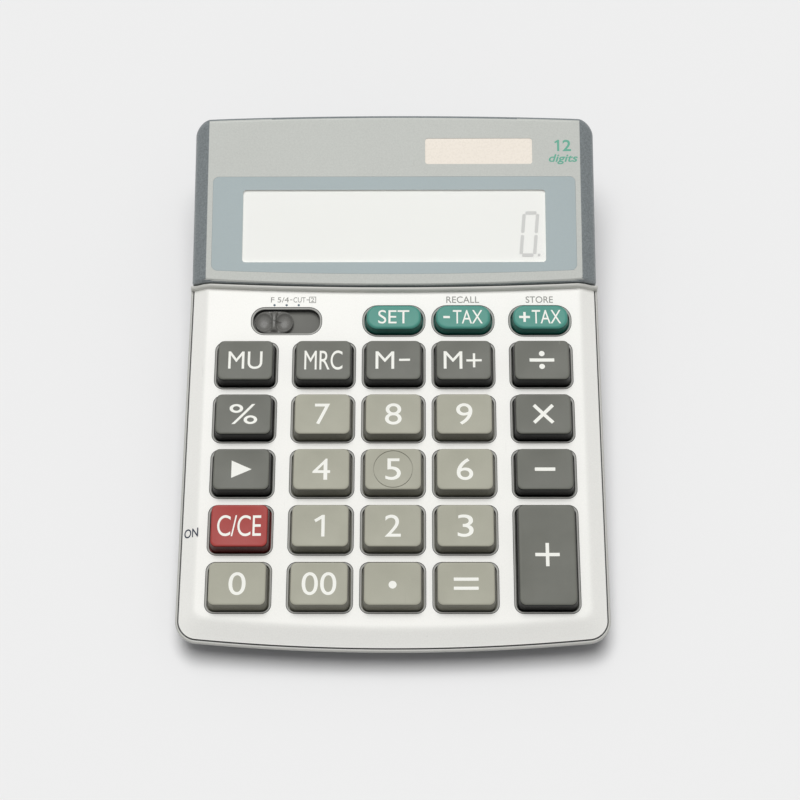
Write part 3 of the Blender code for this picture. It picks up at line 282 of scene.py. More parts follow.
def finish_of(name, colour, roughness, metallic=0.0, grain=4000.0, contrast=0.1, cloud=40.0,
              cloud_contrast=0.05, bump=0.000004, scuff=0.0, scuff_tone=1.5, coat=0.0, specular=0.5):
    """A moulded, painted or plated surface: its colour and gloss vary with a fine speckle and scuffs."""
    finish = bpy.data.materials.new(name)
    finish.use_nodes = True
    tree = finish.node_tree
    spots = add(tree, "ShaderNodeGroup", {
        "Grain per metre": grain, "Contrast": contrast, "Cloud per metre": cloud,
        "Cloud contrast": cloud_contrast}, node_tree=speckle)
    worn = add(tree, "ShaderNodeGroup", {"Amount": scuff}, node_tree=scuffs)["Mask"]
    tinted = add(tree, "ShaderNodeMix", {"Factor": 1.0, "A": (*colour, 1.0), "B": spots["Tone"]},
                 data_type="RGBA", blend_type="MULTIPLY")["Result"]
    rubbed = (*[min(channel * scuff_tone, 1.0) for channel in colour], 1.0)
    rubbed = add(tree, "ShaderNodeMix", {"Factor": worn, "A": tinted, "B": rubbed}, data_type="RGBA")
    swing = 0.12
    gloss = add(tree, "ShaderNodeMapRange", {
        "Value": spots["Height"], "From Min": 0.3, "From Max": 0.7,
        "To Min": roughness * (1 - swing), "To Max": roughness * (1 + swing)})
    fill(tree, tree.nodes["Principled BSDF"], {
        "Metallic": metallic, "Coat Weight": coat, "Coat Roughness": 0.08, "Specular IOR Level": specular,
        "Base Color": rubbed["Result"], "Roughness": gloss["Result"],
        "Normal": add(tree, "ShaderNodeBump", {"Distance": bump, "Height": spots["Height"]})["Normal"]})
    return finish


silver_paint = finish_of("silver_paint", (0.955, 0.95, 0.91), 0.44, metallic=0.15, grain=2600, contrast=0.12,
                         cloud_contrast=0.03, bump=0.000006, scuff=0.35, scuff_tone=0.8)
# Painted shade: the bead round the edge and the chamfers round the openings are the panel's silver paint, given a
# darker copy because they face away from the light.
bead_paint = finish_of("bead_paint", (0.52, 0.52, 0.49), 0.34, metallic=0.1, grain=3000, contrast=0.2)
# Painted shade: near-black paint in the fine grooves round the keys and beside the bead stands for the shade down
# in them.
shaded_paint = finish_of("groove_paint", (0.10, 0.10, 0.10), 0.6, grain=3000, contrast=0.1)
# Painted shade: the riser is the panel's silver paint, given a darker copy because it faces the front, away from
# the light.
riser_paint = finish_of("riser_paint", (0.64, 0.64, 0.60), 0.46, metallic=0.1, grain=3000, contrast=0.12)
# Painted shade: near-black on the walls down the key openings stands for the shade in the gaps round the keys; the
# panel's hidden inside uses it too.
inner_wall_shade = finish_of("unpainted_wall", (0.05, 0.05, 0.05), 0.5, contrast=0.1)

upper_low, upper_high = panel_box("upper_case")
half_width = upper_high.x
bow_front, bow_ledge, bow_back = 3.2 * mm, 1.7 * mm, -1.2 * mm
bead, groove, slope_side, slope_front, slope_drop = 0.9 * mm, 0.36 * mm, 4.4 * mm, 5.2 * mm, 2.6 * mm
wall, riser_rise, riser_depth = 1.8 * mm, 1.6 * mm, 1.0 * mm
panel_front = upper_low.y
panel_back = upper_high.y - bow_ledge
ledge = panel_back - riser_depth
parting = -3.6 * mm
case_corner = 6.0 * mm


def slope_fall(share):
    """How far the slope has fallen, from its top (0) to its foot (1), with a soft start."""
    soft = 0.16
    if share < soft:
        return (share + soft) ** 2 / (4 * soft) if share > -soft else 0.0
    return share


def panel_ring(side_in, front_in, back_in, radius, height):
    """The panel's outline at one height, moved in from its outer edge."""
    return level(plan(half_width - side_in, panel_front + front_in, panel_back - back_in, radius, 0.6 * mm,
                      bow_front, bow_ledge), height)


under_side, under_front = bead + slope_side + 0.6 * mm, bead + slope_front + 0.6 * mm
rings = [panel_ring(under_side, under_front, wall, case_corner / 2, -wall),
         panel_ring(wall + bead / 2, wall + bead / 2, wall, case_corner - wall, parting + 0.3 * mm),
         panel_ring(wall, wall, wall, case_corner - wall, parting),
         panel_ring(0.0, 0.0, 0.0, case_corner, parting)]
marks = [4, 4, 4]
bead_turns = 6
for step in range(bead_turns + 1):
    turn = math.radians(90) * step / bead_turns
    inward = bead / 2 * (1 - math.cos(turn))
    rings.append(panel_ring(inward, inward, 0.0, case_corner - inward,
                            -slope_drop - bead / 2 * (1 - math.sin(turn))))
    marks.append(1)
# The narrow groove between the bead and the slope takes the painted groove shade (finish 2).
for across, drop in ((-0.7, 0.05 * mm), (-0.55, 0.35 * mm), (0.25, 0.35 * mm), (0.4, -0.12 * mm)):
    inward = bead + groove * across
    rings.append(panel_ring(inward, inward, 0.0, case_corner - inward, -slope_drop - drop))
    marks.append(2 if drop > 0.2 * mm else 1)
marks[-1] = 2
for share in (0.9, 0.75, 0.6, 0.45, 0.3, 0.2, 0.12, 0.05, -0.02, -0.09, -0.17, -0.24):
    rings.append(panel_ring(bead + slope_side * (1 - share), bead + slope_front * (1 - share), 0.0,
                            case_corner - bead - (case_corner / 2 - bead) * (1 - share),
                            -slope_drop * slope_fall(share)))
    marks.append(0)
panel_finishes = [silver_paint, bead_paint, shaded_paint, riser_paint, inner_wall_shade]
key_panel = show("key_panel", skin(rings, marks), panel_finishes)


def deck(across):
    """Height of the panel's section at a distance from its middle."""
    share = (half_width - bead - abs(across)) / slope_side
    return -slope_drop * slope_fall(min(1 - share, 1.0)) if share < 1.2 else 0.0


stations = [half_width * (2 * step / 60 - 1) for step in range(61)]
sections = []
for across in stations:
    bow = bow_ledge * (across / half_width) ** 2
    foot, top = deck(across) - wall / 2, deck(across) + riser_rise
    sections.append([Vector((across, ledge + bow, foot)), Vector((across, panel_back + bow, foot)),
                     Vector((across, panel_back + bow, top)), Vector((across, ledge + bow + 0.55 * mm, top)),
                     Vector((across, ledge + bow + 0.22 * mm, top - 0.25 * mm)),
                     Vector((across, ledge + bow + 0.04 * mm, deck(across) + 0.2 * mm))])
carve(key_panel, skin(sections), riser_paint, "UNION")

key_nodes = sorted(name for name in frame["nodes"] if name.startswith("key_"))
lip = 1.0 * mm
opening_gap, chamfer, chamfer_fall = 0.36 * mm, 0.48 * mm, 0.22 * mm
ring_width, ring_depth = 0.20 * mm, 0.30 * mm
# The last number of each step picks its finish: near-black wall shade down the hole, the darker silver copy on the
# chamfer, and the painted groove shade in the groove.
opening_steps = [(0.0, -wall - 0.4 * mm, 4), (0.0, -chamfer_fall - 0.1 * mm, 1), (0.06 * mm, -chamfer_fall, 1),
                 (chamfer, -0.04 * mm, 2), (chamfer + 0.03 * mm, -ring_depth, 2),
                 (chamfer + ring_width - 0.02 * mm, -ring_depth, 2), (chamfer + ring_width, 0.4 * mm, 2)]


def key_size(node):
    """Middle of a key on the panel, its size where it meets the panel, and its corner radius."""
    low, high = panel_box(node)
    width, depth = high.x - low.x - 2 * lip, high.y - low.y - 2 * lip
    round_ended = depth < 10 * mm
    radius = depth / 2 - 0.6 * mm if round_ended else 1.8 * mm
    return Vector(((low.x + high.x) / 2, (low.y + high.y) / 2, 0.0)), width, depth, radius


def opening_for(mesh, middle, width, depth, radius):
    """The solid that cuts one opening: a straight hole, a chamfer and a fine groove round it."""
    rings = [level(rounded(width + 2 * grow, depth + 2 * grow, radius + grow, middle=middle.xy), height)
             for grow, height, finish in opening_steps]
    return skin(rings, [finish for grow, height, finish in opening_steps[:-1]], mesh=mesh)


openings = bpy.data.meshes.new("openings")
for node in key_nodes:
    middle, width, depth, radius = key_size(node)
    opening_for(openings, middle, width + 2 * opening_gap, depth + 2 * opening_gap, radius + opening_gap)
slot_width, slot_depth = 20.4 * mm, 8.1 * mm
slot_middle = Vector(((panel_box("key_mu")[0].x + panel_box("key_mrc")[1].x) / 2,
                      key_size("key_set")[0].y, 0.0))
opening_for(openings, slot_middle, slot_width, slot_depth, slot_depth / 2 - 0.5 * mm)
take(key_panel, show("openings", openings, panel_finishes))
soften(key_panel, 24)
settle(key_panel, panel)
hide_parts("upper_case")
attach(key_panel, "case")


# ---------------------------------------------------------------- keys
# Twenty-seven moulded caps with a soft shoulder, a shallow dish and a flange under the panel that
# keeps each one in. Their signs are a second shot of white plastic that comes up flush through
# the top. One Geometry Nodes tree makes every cap from its own width, depth and corner.

def grown_mesh(name, tree, values):
    """What a geometry tree makes from these inputs, as a plain mesh."""
    seed = bpy.data.objects.new(name, bpy.data.meshes.new(name + "_seed"))
    bpy.context.scene.collection.objects.link(seed)
    modifier = seed.modifiers.new("grow", "NODES")
    modifier.node_group = tree
    for item in tree.interface.items_tree:
        if item.in_out == "INPUT" and item.name in values:
            modifier[item.identifier] = values[item.name]
    seed.update_tag()
    bpy.context.view_layer.update()
    made = bpy.data.meshes.new_from_object(seed.evaluated_get(bpy.context.evaluated_depsgraph_get()))
    made.name = name
    bpy.data.objects.remove(seed)
    finish = made.materials[-1]
    made.materials.clear()
    made.materials.append(finish)
    for polygon in made.polygons:
        polygon.material_index = 0
    work = bmesh.new()
    work.from_mesh(made)
    bmesh.ops.remove_doubles(work, verts=work.verts, dist=1e-7)
    bmesh.ops.recalc_face_normals(work, faces=work.faces)
    work.to_mesh(made)
    work.free()
    return made


cap_around, cap_levels = 144, 21
cap_tree, given, out = node_group("key_cap", "GeometryNodeTree", [
    ("Profile", "Object"), ("Width", "Float"), ("Depth", "Float"), ("Corner", "Float"),
    ("Shoulder inset", "Float"), ("Dish", "Float"), ("Material", "Material")], [("Geometry", "Geometry")])


def made_real(tree, geometry, given, out):
    """The end of a geometry tree: instances made real and given their material."""
    real = add(tree, "GeometryNodeRealizeInstances", {"Geometry": geometry})["Geometry"]
    dressed = add(tree, "GeometryNodeSetMaterial", {"Geometry": real, "Material": given["Material"]})
    fill(tree, out, {"Geometry": dressed["Geometry"]})


def cap_node(kind, inputs, **settings):
    return add(cap_tree, kind, inputs, **settings)


def cap_sum(operation, first, second=None):
    return maths(cap_tree, operation, first, second)


edge = cap_node("GeometryNodeCurvePrimitiveQuadrilateral",
                {"Width": given["Width"], "Height": given["Depth"]})["Curve"]
corners = cap_node("GeometryNodeFilletCurve", {"Curve": edge, "Count": 12, "Radius": given["Corner"]},
                   mode="POLY")["Curve"]
sheet = cap_node("GeometryNodeMeshGrid", {"Size X": 1.0, "Size Y": 1.0, "Vertices X": cap_around + 1,
                                          "Vertices Y": cap_levels})
where = cap_node("GeometryNodeInputPosition", {})["Position"]
on_sheet = cap_node("ShaderNodeSeparateXYZ", {"Vector": where})
round_share = cap_sum("ADD", on_sheet["X"], 0.5)
up_index = cap_sum("ROUND", cap_sum("MULTIPLY", cap_sum("ADD", on_sheet["Y"], 0.5), cap_levels - 1))
on_edge = cap_node("GeometryNodeSampleCurve", {"Curves": corners, "Factor": round_share}, mode="FACTOR")
edge_point = cap_node("ShaderNodeSeparateXYZ", {"Vector": on_edge["Position"]})
profile = cap_node("GeometryNodeObjectInfo", {"Object": given["Profile"]})["Geometry"]
at_level = cap_node("GeometryNodeSampleIndex", {"Geometry": profile, "Value": where, "Index": up_index},
                    data_type="FLOAT_VECTOR", domain="POINT")
step_of = cap_node("ShaderNodeSeparateXYZ", {"Vector": at_level["Value"]})
left_share = cap_sum("SUBTRACT", 1.0, step_of["Y"])
reach, crowns = {}, []
for axis, size in (("X", "Width"), ("Y", "Depth")):
    half_size = cap_sum("MULTIPLY", given[size], 0.5)
    inset_share = cap_sum("SUBTRACT", 1.0, cap_sum("DIVIDE", step_of["X"], half_size))
    reach[axis] = cap_sum("MULTIPLY", edge_point[axis], cap_sum("MULTIPLY", inset_share, left_share))
    top_half = cap_sum("SUBTRACT", half_size, given["Shoulder inset"])
    away = cap_sum("ABSOLUTE", cap_sum("DIVIDE", reach[axis], top_half))
    crowns.append(cap_sum("MAXIMUM", cap_sum("SUBTRACT", 1.0, cap_sum("POWER", away, 2.0)), 0.0))
hollow = cap_sum("MULTIPLY", cap_sum("MULTIPLY", *crowns), given["Dish"])
on_top = cap_sum("GREATER_THAN", step_of["Z"], 0.001)
height = cap_sum("SUBTRACT", step_of["Z"], cap_sum("MULTIPLY", hollow, on_top))
placed = cap_node("ShaderNodeCombineXYZ", {**reach, "Z": height})["Vector"]
moved = cap_node("GeometryNodeSetPosition", {"Geometry": sheet["Mesh"], "Position": placed})["Geometry"]
closed = cap_node("GeometryNodeMergeByDistance", {"Geometry": moved, "Distance": 1e-7})["Geometry"]
made_real(cap_tree, closed, given, out)


def cap_profile(name, rise, shoulder, draft, bottom, flange_top):
    """Inset, share of the way to the middle, and height, at each level of a cap."""
    steps = [(0.0, 1.0, bottom), (-lip, 0.0, bottom), (-lip, 0.0, flange_top), (0.0, 0.0, flange_top),
             (0.0, 0.0, 0.0), (draft * 0.5, 0.0, (rise - shoulder) * 0.5), (draft, 0.0, rise - shoulder)]
    for step in range(1, 8):
        turn = math.radians(90) * step / 7
        steps.append((draft + shoulder * (1 - math.cos(turn)), 0.0, rise - shoulder * (1 - math.sin(turn))))
    for share in (0.05, 0.14, 0.28, 0.45, 0.65, 0.85, 1.0):
        steps.append((draft + shoulder, share, rise))
    mesh = bpy.data.meshes.new(name)
    mesh.from_pydata(steps, [], [])
    return show(name, mesh, [])


def text_solid(words, width, height, thickness, slim=0.0, slant=0.0, spread_out=1.0):
    """Lettering as a closed solid, its width and height in millimetres, about its own middle."""
    lines = bpy.data.curves.new(words, "FONT")
    lines.body = words
    lines.extrude = 0.5
    lines.offset = slim
    lines.shear = slant
    lines.space_character = spread_out
    lines.resolution_u = 8
    carrier = bpy.data.objects.new(words, lines)
    bpy.context.scene.collection.objects.link(carrier)
    bpy.context.view_layer.update()
    mesh = bpy.data.meshes.new_from_object(carrier.evaluated_get(bpy.context.evaluated_depsgraph_get()))
    bpy.data.objects.remove(carrier)
    work = bmesh.new()
    work.from_mesh(mesh)
    bmesh.ops.remove_doubles(work, verts=work.verts, dist=1e-5)
    low, high = [Vector([pick(vertex.co[axis] for vertex in work.verts) for axis in range(3)])
                 for pick in (min, max)]
    middle = (low + high) / 2
    for vertex in work.verts:
        vertex.co = Vector(((vertex.co.x - middle.x) * width * mm / (high.x - low.x),
                            (vertex.co.y - middle.y) * height * mm / (high.y - low.y),
                            (vertex.co.z - low.z) / (high.z - low.z) * thickness))
    work.to_mesh(mesh)
    work.free()
    return mesh


def bars(places, thickness):
    """Plain strokes as closed solids: (middle x, middle y, length, stroke) in millimetres, and a turn."""
    mesh = bpy.data.meshes.new("bars")
    for across, along, length, width, turn in places:
        spin = Matrix.Rotation(math.radians(turn), 2)
        slab([spin @ point + Vector((across, along)) * mm for point in
              rounded(length * mm, width * mm, width * mm * 0.12, 3)], 0.0, thickness, mesh)
    return mesh


def dots(places, thickness):
    """Round dots as closed solids: each is (middle x, middle y, radius) in millimetres."""
    mesh = bpy.data.meshes.new("dots")
    for across, along, radius in places:
        slab(circle(radius * mm, 32, Vector((across, along)) * mm), 0.0, thickness, mesh)
    return mesh


def cross(size, arm, turn, thickness, across=0.0, along=0.0):
    """A plus sign, or a times sign when turned, as one outline in millimetres."""
    h, a = size / 2, arm / 2
    spin = Matrix.Rotation(math.radians(turn), 2)
    quarter = [Vector((a, -h)), Vector((a, -a)), Vector((h, -a))]
    points = [Matrix.Rotation(math.radians(90) * step, 2) @ point for step in range(4) for point in quarter]
    return slab([(spin @ point + Vector((across, along))) * mm for point in points], 0.0, thickness)


def joined(*meshes):
    """Several meshes as one."""
    work = bmesh.new()
    for mesh in meshes:
        work.from_mesh(mesh)
    first = meshes[0]
    work.to_mesh(first)
    work.free()
    return first


sign_depth = 2.0 * mm
point_right = [(-2.9, -2.7), (3.0, 0.0), (-2.9, 2.7)]
one_outline = [(0.35, -3.3), (1.3, -3.3), (1.3, 3.3), (0.55, 3.3), (-1.75, 1.85), (-1.3, 1.1), (0.35, 2.1)]
stroke = 1.05
word_signs = {"key_mu": ("MU", 10.2, 5.7), "key_mrc": ("MRC", 11.4, 6.3), "key_percent": ("%", 8.3, 6.4),
              "key_set": ("SET", 9.4, 4.5), "key_00": ("00", 9.9, 6.8)}
word_signs |= {"key_" + digit: (digit, width, height) for digit, width, height in (
    ("0", 4.9, 6.8), ("2", 4.6, 6.7), ("3", 4.6, 6.8), ("4", 5.2, 6.6), ("5", 4.5, 6.7), ("6", 4.8, 6.8),
    ("7", 4.5, 6.6), ("8", 4.9, 6.8), ("9", 4.8, 6.8))}


def outlined(points, thickness):
    """An outline in millimetres as a closed solid."""
    return slab([Vector((across * mm, along * mm)) for across, along in points], 0.0, thickness)


def lettered(words, width, height, mark):
    """A word with a plain stroke or a plus sign beside it."""
    return joined(text_solid(words, width, height, sign_depth), mark)


drawn_signs = {
    "key_m_minus": lambda: lettered("M", 5.6, 5.7, bars([(5.9, 0.1, 3.3, 0.7, 0)], sign_depth)),
    "key_m_plus": lambda: lettered("M", 5.6, 5.7, cross(4.6, 0.7, 0, sign_depth, 6.3, -0.1)),
    "key_tax_minus": lambda: lettered("TAX", 9.0, 4.5, bars([(-6.4, -0.1, 2.0, 0.75, 0)], sign_depth)),
    "key_tax_plus": lambda: lettered("TAX", 8.8, 4.5, cross(3.3, 0.75, 0, sign_depth, -6.6, -0.1)),
    "key_divide": lambda: joined(bars([(0, 0, 7.4, stroke, 0)], sign_depth),
                                 dots([(0, 2.1, 0.85), (0, -2.1, 0.85)], sign_depth)),
    "key_multiply": lambda: cross(7.9, stroke, 45, sign_depth),
    "key_shift_right": lambda: outlined(point_right, sign_depth),
    "key_minus": lambda: bars([(0, 0, 6.0, stroke, 0)], sign_depth),
    "key_clear": lambda: text_solid("C/CE", 12.7, 6.4, sign_depth, -0.002, spread_out=0.94),
    "key_1": lambda: outlined(one_outline, sign_depth),
    "key_point": lambda: dots([(0, -0.3, 1.15)], sign_depth),
    "key_equals": lambda: bars([(0, 1.35, 7.1, 0.95, 0), (0, -1.35, 7.1, 0.95, 0)], sign_depth),
    "key_plus": lambda: cross(7.0, 1.0, 0, sign_depth),
}
sign_shift = {"key_m_minus": -2.6, "key_m_plus": -3.2, "key_tax_minus": 1.4, "key_tax_plus": 1.8}

number_plastic = finish_of("number_key_plastic", (0.40, 0.395, 0.32), 0.40, grain=3500, contrast=0.10,
                           cloud=160, cloud_contrast=0.16, scuff=0.12, scuff_tone=0.6)
function_plastic = finish_of("function_key_plastic", (0.150, 0.153, 0.132), 0.38, grain=3500, contrast=0.12,
                             cloud=140, cloud_contrast=0.26, scuff=0.3, scuff_tone=2.2)
clear_plastic = finish_of("clear_key_plastic", (0.38, 0.052, 0.045), 0.36, grain=3500, contrast=0.10,
                          cloud=160, cloud_contrast=0.10)
tax_plastic = finish_of("tax_key_plastic", (0.075, 0.29, 0.235), 0.34, grain=3500, contrast=0.10,
                        cloud=160, cloud_contrast=0.10)
# Painted shade: each key plastic gets a darker copy for its side walls below the shoulder, standing for the shade
# on the sides.
key_side_shades = [finish_of(plastic + "_wall", colour, 0.30, grain=3500, contrast=0.12, cloud=200,
                           cloud_contrast=0.15, specular=0.15) for plastic, colour in
                 (("number", (0.19, 0.185, 0.15)), ("function", (0.007, 0.007, 0.007)),
                  ("clear", (0.10, 0.010, 0.009)), ("tax", (0.010, 0.13, 0.10)))]
sign_white = finish_of("sign_white", (0.90, 0.90, 0.84), 0.42, contrast=0.05)
number_keys = {"key_00", "key_point", "key_equals"} | {f"key_{digit}" for digit in range(10)}
flange_low = panel_box("key_5")[0].z
cap_shape = cap_profile("cap_profile", key_rise, 0.50 * mm, 0.35 * mm, flange_low, flange_low + 0.8 * mm)
pill_shape = cap_profile("pill_profile", pill_rise, 0.80 * mm, 0.30 * mm, flange_low, flange_low + 0.8 * mm)
for node in key_nodes:
    middle, width, depth, radius = key_size(node)
    pill = depth < 10 * mm
    plastic = (tax_plastic if pill else clear_plastic if node == "key_clear" else
               number_plastic if node in number_keys else function_plastic)
    cap = show(node + "_cap", grown_mesh(node + "_cap", cap_tree, {
        "Profile": pill_shape if pill else cap_shape, "Width": width, "Depth": depth, "Corner": radius,
        "Shoulder inset": (1.10 if pill else 0.85) * mm, "Dish": (0.10 if pill else 0.28) * mm,
        "Material": plastic}), [])
    if node == "key_5":
        sizes = [(5.62 * mm, 3.0 * mm), (5.62 * mm, 5.0 * mm), (5.80 * mm, 5.0 * mm), (5.80 * mm, 3.0 * mm)]
        ring = skin([level(circle(radius, 72), height) for radius, height in sizes], closed_round=True)
        carve(cap, ring, plastic, place=Matrix.Translation((0.0, 0.0, key_rise - 3.42 * mm)))
    rise = pill_rise if pill else key_rise
    # The sides below the shoulder take the darker painted-shade copy of the key's plastic.
    side = key_side_shades[3 if pill else 2 if node == "key_clear" else 0 if node in number_keys else 1]
    cap.data.materials.append(side)
    for polygon in cap.data.polygons:
        if polygon.normal.z < 0.9 and polygon.center.z < rise - (0.50 if pill else 0.20) * mm:
            polygon.material_index = 1
    sign_mesh = text_solid(*word_signs[node], sign_depth) if node in word_signs else drawn_signs[node]()
    sign = show(node + "_sign", sign_mesh, [sign_white])
    sign.data.transform(Matrix.Translation((sign_shift.get(node, 0.0) * mm, 0.0, rise - 0.6 * mm)))
    take(sign, show("stamp", cap.data.copy(), []), "INTERSECT", finish_from_tool=False)
    sign.data.materials.clear()
    sign.data.materials.append(sign_white)
    sign.data.transform(Matrix.Translation((0.0, 0.0, 0.02 * mm)))
    soften(cap, 35)
    settle(cap, panel @ Matrix.Translation(middle))
    settle(sign, panel @ Matrix.Translation(middle))
    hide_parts(node)
    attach(cap, node)
    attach(sign, node)
for shape in (cap_shape, pill_shape):
    bpy.data.objects.remove(shape)


# ---------------------------------------------------------------- slide selector
# A dark plate slides under the stadium slot and carries a thumb piece: two round scoops with a
# waisted ridge between them that the fingertip pushes from stop to stop.

slot_grey = finish_of("selector_plastic", (0.19, 0.19, 0.175), 0.42, grain=3500, contrast=0.12, cloud=200,
                      cloud_contrast=0.15)
knob_plastic = finish_of("selector_thumb_plastic", (0.15, 0.148, 0.138), 0.26, grain=3500, contrast=0.12,
                         cloud=300, cloud_contrast=0.15)
knob_low, knob_high = panel_box("selector_knob")
contact_low, contact_high = panel_box("selector_contact")
thumb_middle = Vector(((contact_low.x + contact_high.x) / 2, slot_middle.y, 0.0))
plate_top = knob_low.z + 1.0 * mm
thumb_width, thumb_depth = 11.6 * mm, 7.3 * mm


def thumb_height(across, along):
    """Height of the thumb piece: a flat rim, two scoops, and a ridge narrow at its waist."""
    height = -0.85 * mm
    for side in (-1, 1):
        away = math.hypot((across - side * 3.1 * mm) / (2.5 * mm), along / (2.9 * mm))
        rim = 0.28 * math.exp(-((away - 1.0) / 0.16) ** 2)
        height += (rim - 0.55 * max(0.0, 1.0 - away ** 2) ** 0.6) * mm
    waist = (0.62 + 0.62 * (along / (3.2 * mm)) ** 2) * mm
    ridge = max(0.0, 1.0 - (abs(across) / waist) ** 2.4)
    end = max(0.0, 1.0 - (abs(along) / (3.3 * mm)) ** 8)
    return min(height + 1.15 * mm * ridge ** 0.6 * end, 0.28 * mm)


def filled_in(points, step):
    """The same outline with extra points along its long straight runs."""
    dense = []
    for here, after in zip(points, points[1:] + points[:1]):
        pieces = max(1, math.ceil((after - here).length / step))
        dense += [here.lerp(after, number / pieces) for number in range(pieces)]
    return dense


plate_size = knob_high - knob_low
plate_middle = Vector(((knob_low.x + knob_high.x) / 2, slot_middle.y))
knob_mesh = skin([level(rounded(plate_size.x - 2 * inward, plate_size.y - 2 * inward, 1.2 * mm, 5,
                                plate_middle), height) for inward, height in
                  ((0.15 * mm, knob_low.z), (0.0, knob_low.z + 0.15 * mm), (0.0, plate_top - 0.15 * mm),
                   (0.15 * mm, plate_top))])
edge_points = filled_in(rounded(thumb_width, thumb_depth, thumb_depth / 2 - 0.2 * mm, 24), 0.12 * mm)
thumb_rings = [[point + thumb_middle for point in level(edge_points, plate_top - 0.3 * mm)]]
for share in [step / 30 for step in range(30)]:
    ring_points = []
    for point in edge_points:
        spine = Vector((max(min(point.x, 2.4 * mm), -2.4 * mm), 0.0))
        place = point.lerp(spine, share)
        fall = 0.25 * mm if share == 0.0 else 0.0
        ring_points.append(Vector((place.x, place.y, thumb_height(place.x, place.y) - fall)) + thumb_middle)
    thumb_rings.append(ring_points)
thumb = show("thumb", skin(thumb_rings), [knob_plastic])
selector = show("selector_thumb", knob_mesh, [slot_grey, knob_plastic])
joined(selector.data, thumb.data)
for polygon in selector.data.polygons:
    if max(selector.data.vertices[index].co.z for index in polygon.vertices) > plate_top + 0.05 * mm:
        polygon.material_index = 1
bpy.data.objects.remove(thumb)
soften(selector, 50)
settle(selector, panel)
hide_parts("selector_knob")
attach(selector, "selector")


# ---------------------------------------------------------------- printed words on the panel
# Small grey function words pad-printed over the selector and the tax keys, three position dots,
# and a dark word for switching on beside the clear key.

print_grey = finish_of("print_grey", (0.30, 0.30, 0.28), 0.5, contrast=0.15)
print_dark = finish_of("print_dark", (0.035, 0.045, 0.075), 0.5, contrast=0.15)
print_blue = finish_of("print_dots", (0.10, 0.14, 0.17), 0.5, contrast=0.15)
ink = 0.04 * mm


def printed(name, mesh, finish, place):
    """A layer of ink laid on a surface of the case."""
    words = show(name, mesh, [finish])
    settle(words, place)
    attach(words, "case")
    return words


tax_minus_x = key_size("key_tax_minus")[0].x
tax_plus_x = key_size("key_tax_plus")[0].x
word_row = slot_middle.y + 7.15 * mm
hyphens = bars([(-2.55, 0, 0.8, 0.22, 0), (2.55, 0, 0.8, 0.22, 0)], ink)
frame_sides = bars([(0, 0.95, 2.1, 0.2, 0), (0, -0.95, 2.1, 0.2, 0), (0.95, 0, 1.7, 0.2, 90),
                    (-0.95, 0, 1.7, 0.2, 90)], ink)
for name, mesh, across in (
        ("word_recall", text_solid("RECALL", 10.0, 2.2, ink, 0.004), tax_minus_x),
        ("word_store", text_solid("STORE", 8.3, 2.2, ink, 0.004), tax_plus_x),
        ("word_rounding", text_solid("F 5/4", 5.5, 1.75, ink), -34.9 * mm),
        ("word_cut", joined(text_solid("CUT", 3.7, 1.75, ink), hyphens), -28.9 * mm),
        ("word_two_places", joined(text_solid("2", 0.95, 1.35, ink), frame_sides), -24.9 * mm)):
    printed(name, mesh, print_grey, panel @ Matrix.Translation((across, word_row, 0.0)))
first_stop = Vector((thumb_middle.x, slot_middle.y + 5.35 * mm)) / mm
stops = [(first_stop.x + travel, first_stop.y, 0.36) for travel in (0.0, 3.7, 7.4)]
printed("selector_stops", dots(stops, ink), print_blue, panel)
slope_turn = math.atan2(slope_drop, slope_side)
on_middle = Vector((-half_width + bead + slope_side * 0.64, key_size("key_clear")[0].y - 0.6 * mm, 0.0))
on_place = panel @ Matrix.Translation((on_middle.x, on_middle.y, -slope_drop * slope_fall(0.36) + 0.02 * mm))
printed("word_on", text_solid("ON", 4.9, 2.7, 0.05 * mm, 0.006), print_dark,
        on_place @ Matrix.Rotation(-slope_turn, 4, "Y"))


# ---------------------------------------------------------------- display hood
# The raised grey moulding behind the keys, tilted up to face the user. Its face and bevelled edges
# share one metallic grey paint: the flat face gets a light copy and the bevels a darker copy with fine
# flake, painted light and painted shade for how each faces the light.

hood_paint_lit = finish_of("hood_face_print", (0.59, 0.605, 0.57), 0.36, metallic=0.06, grain=2200, contrast=0.22,
                      cloud=30, cloud_contrast=0.06, coat=0.15, scuff=0.25, scuff_tone=0.7)
hood_paint_shaded = finish_of("hood_smoky_edge", (0.225, 0.25, 0.258), 0.32, metallic=0.1, grain=1900, contrast=0.9,
                      cloud=60, cloud_contrast=0.1, bump=0.000008, coat=0.3)
pocket_grey = finish_of("pocket_wall", (0.22, 0.24, 0.25), 0.5, contrast=0.1)

hood_low, hood_high = panel_box("display_housing")
hood_half = hood_high.x
hood_front = hood_low.y
hood_back = hood_high.y
face_half = hood_half - 4.4 * mm
face_front = hood_front + 0.5 * mm
face_back = hood_back - 1.4 * mm
face_turn = Matrix.Rotation(math.radians(10), 4, "X")
face = panel @ Matrix.Translation((0.0, face_front, 2.7 * mm)) @ face_turn


def face_height(along):
    """Height of the display face over the key panel's plane."""
    return 2.7 * mm + (along - face_front) * math.tan(math.radians(10))


hood_corner = 4.2 * mm
outer_plan = plan(hood_half, hood_front, hood_back, 0.6 * mm, hood_corner, bow_ledge, bow_back)
face_plan = plan(face_half, face_front, face_back, 0.9 * mm, 0.5 * mm, bow_ledge, bow_back)
hood_wall = 2.2 * mm
inner_plan = plan(hood_half - hood_wall, hood_front + hood_wall, hood_back - hood_wall, 0.6 * mm, 2.0 * mm,
                  bow_ledge, bow_back)
under_plan = plan(face_half - hood_wall / 2, face_front + hood_wall, face_back - hood_wall, 0.9 * mm, 0.5 * mm,
                  bow_ledge, bow_back)


def edge_fall(point):
    """How far the bevel falls at a point of the outer plan: deep at the sides, shallow elsewhere."""
    side = min(max((abs(point.x) - face_half) / (4.4 * mm), 0.0), 1.0)
    return (0.75 + 2.25 * side) * mm


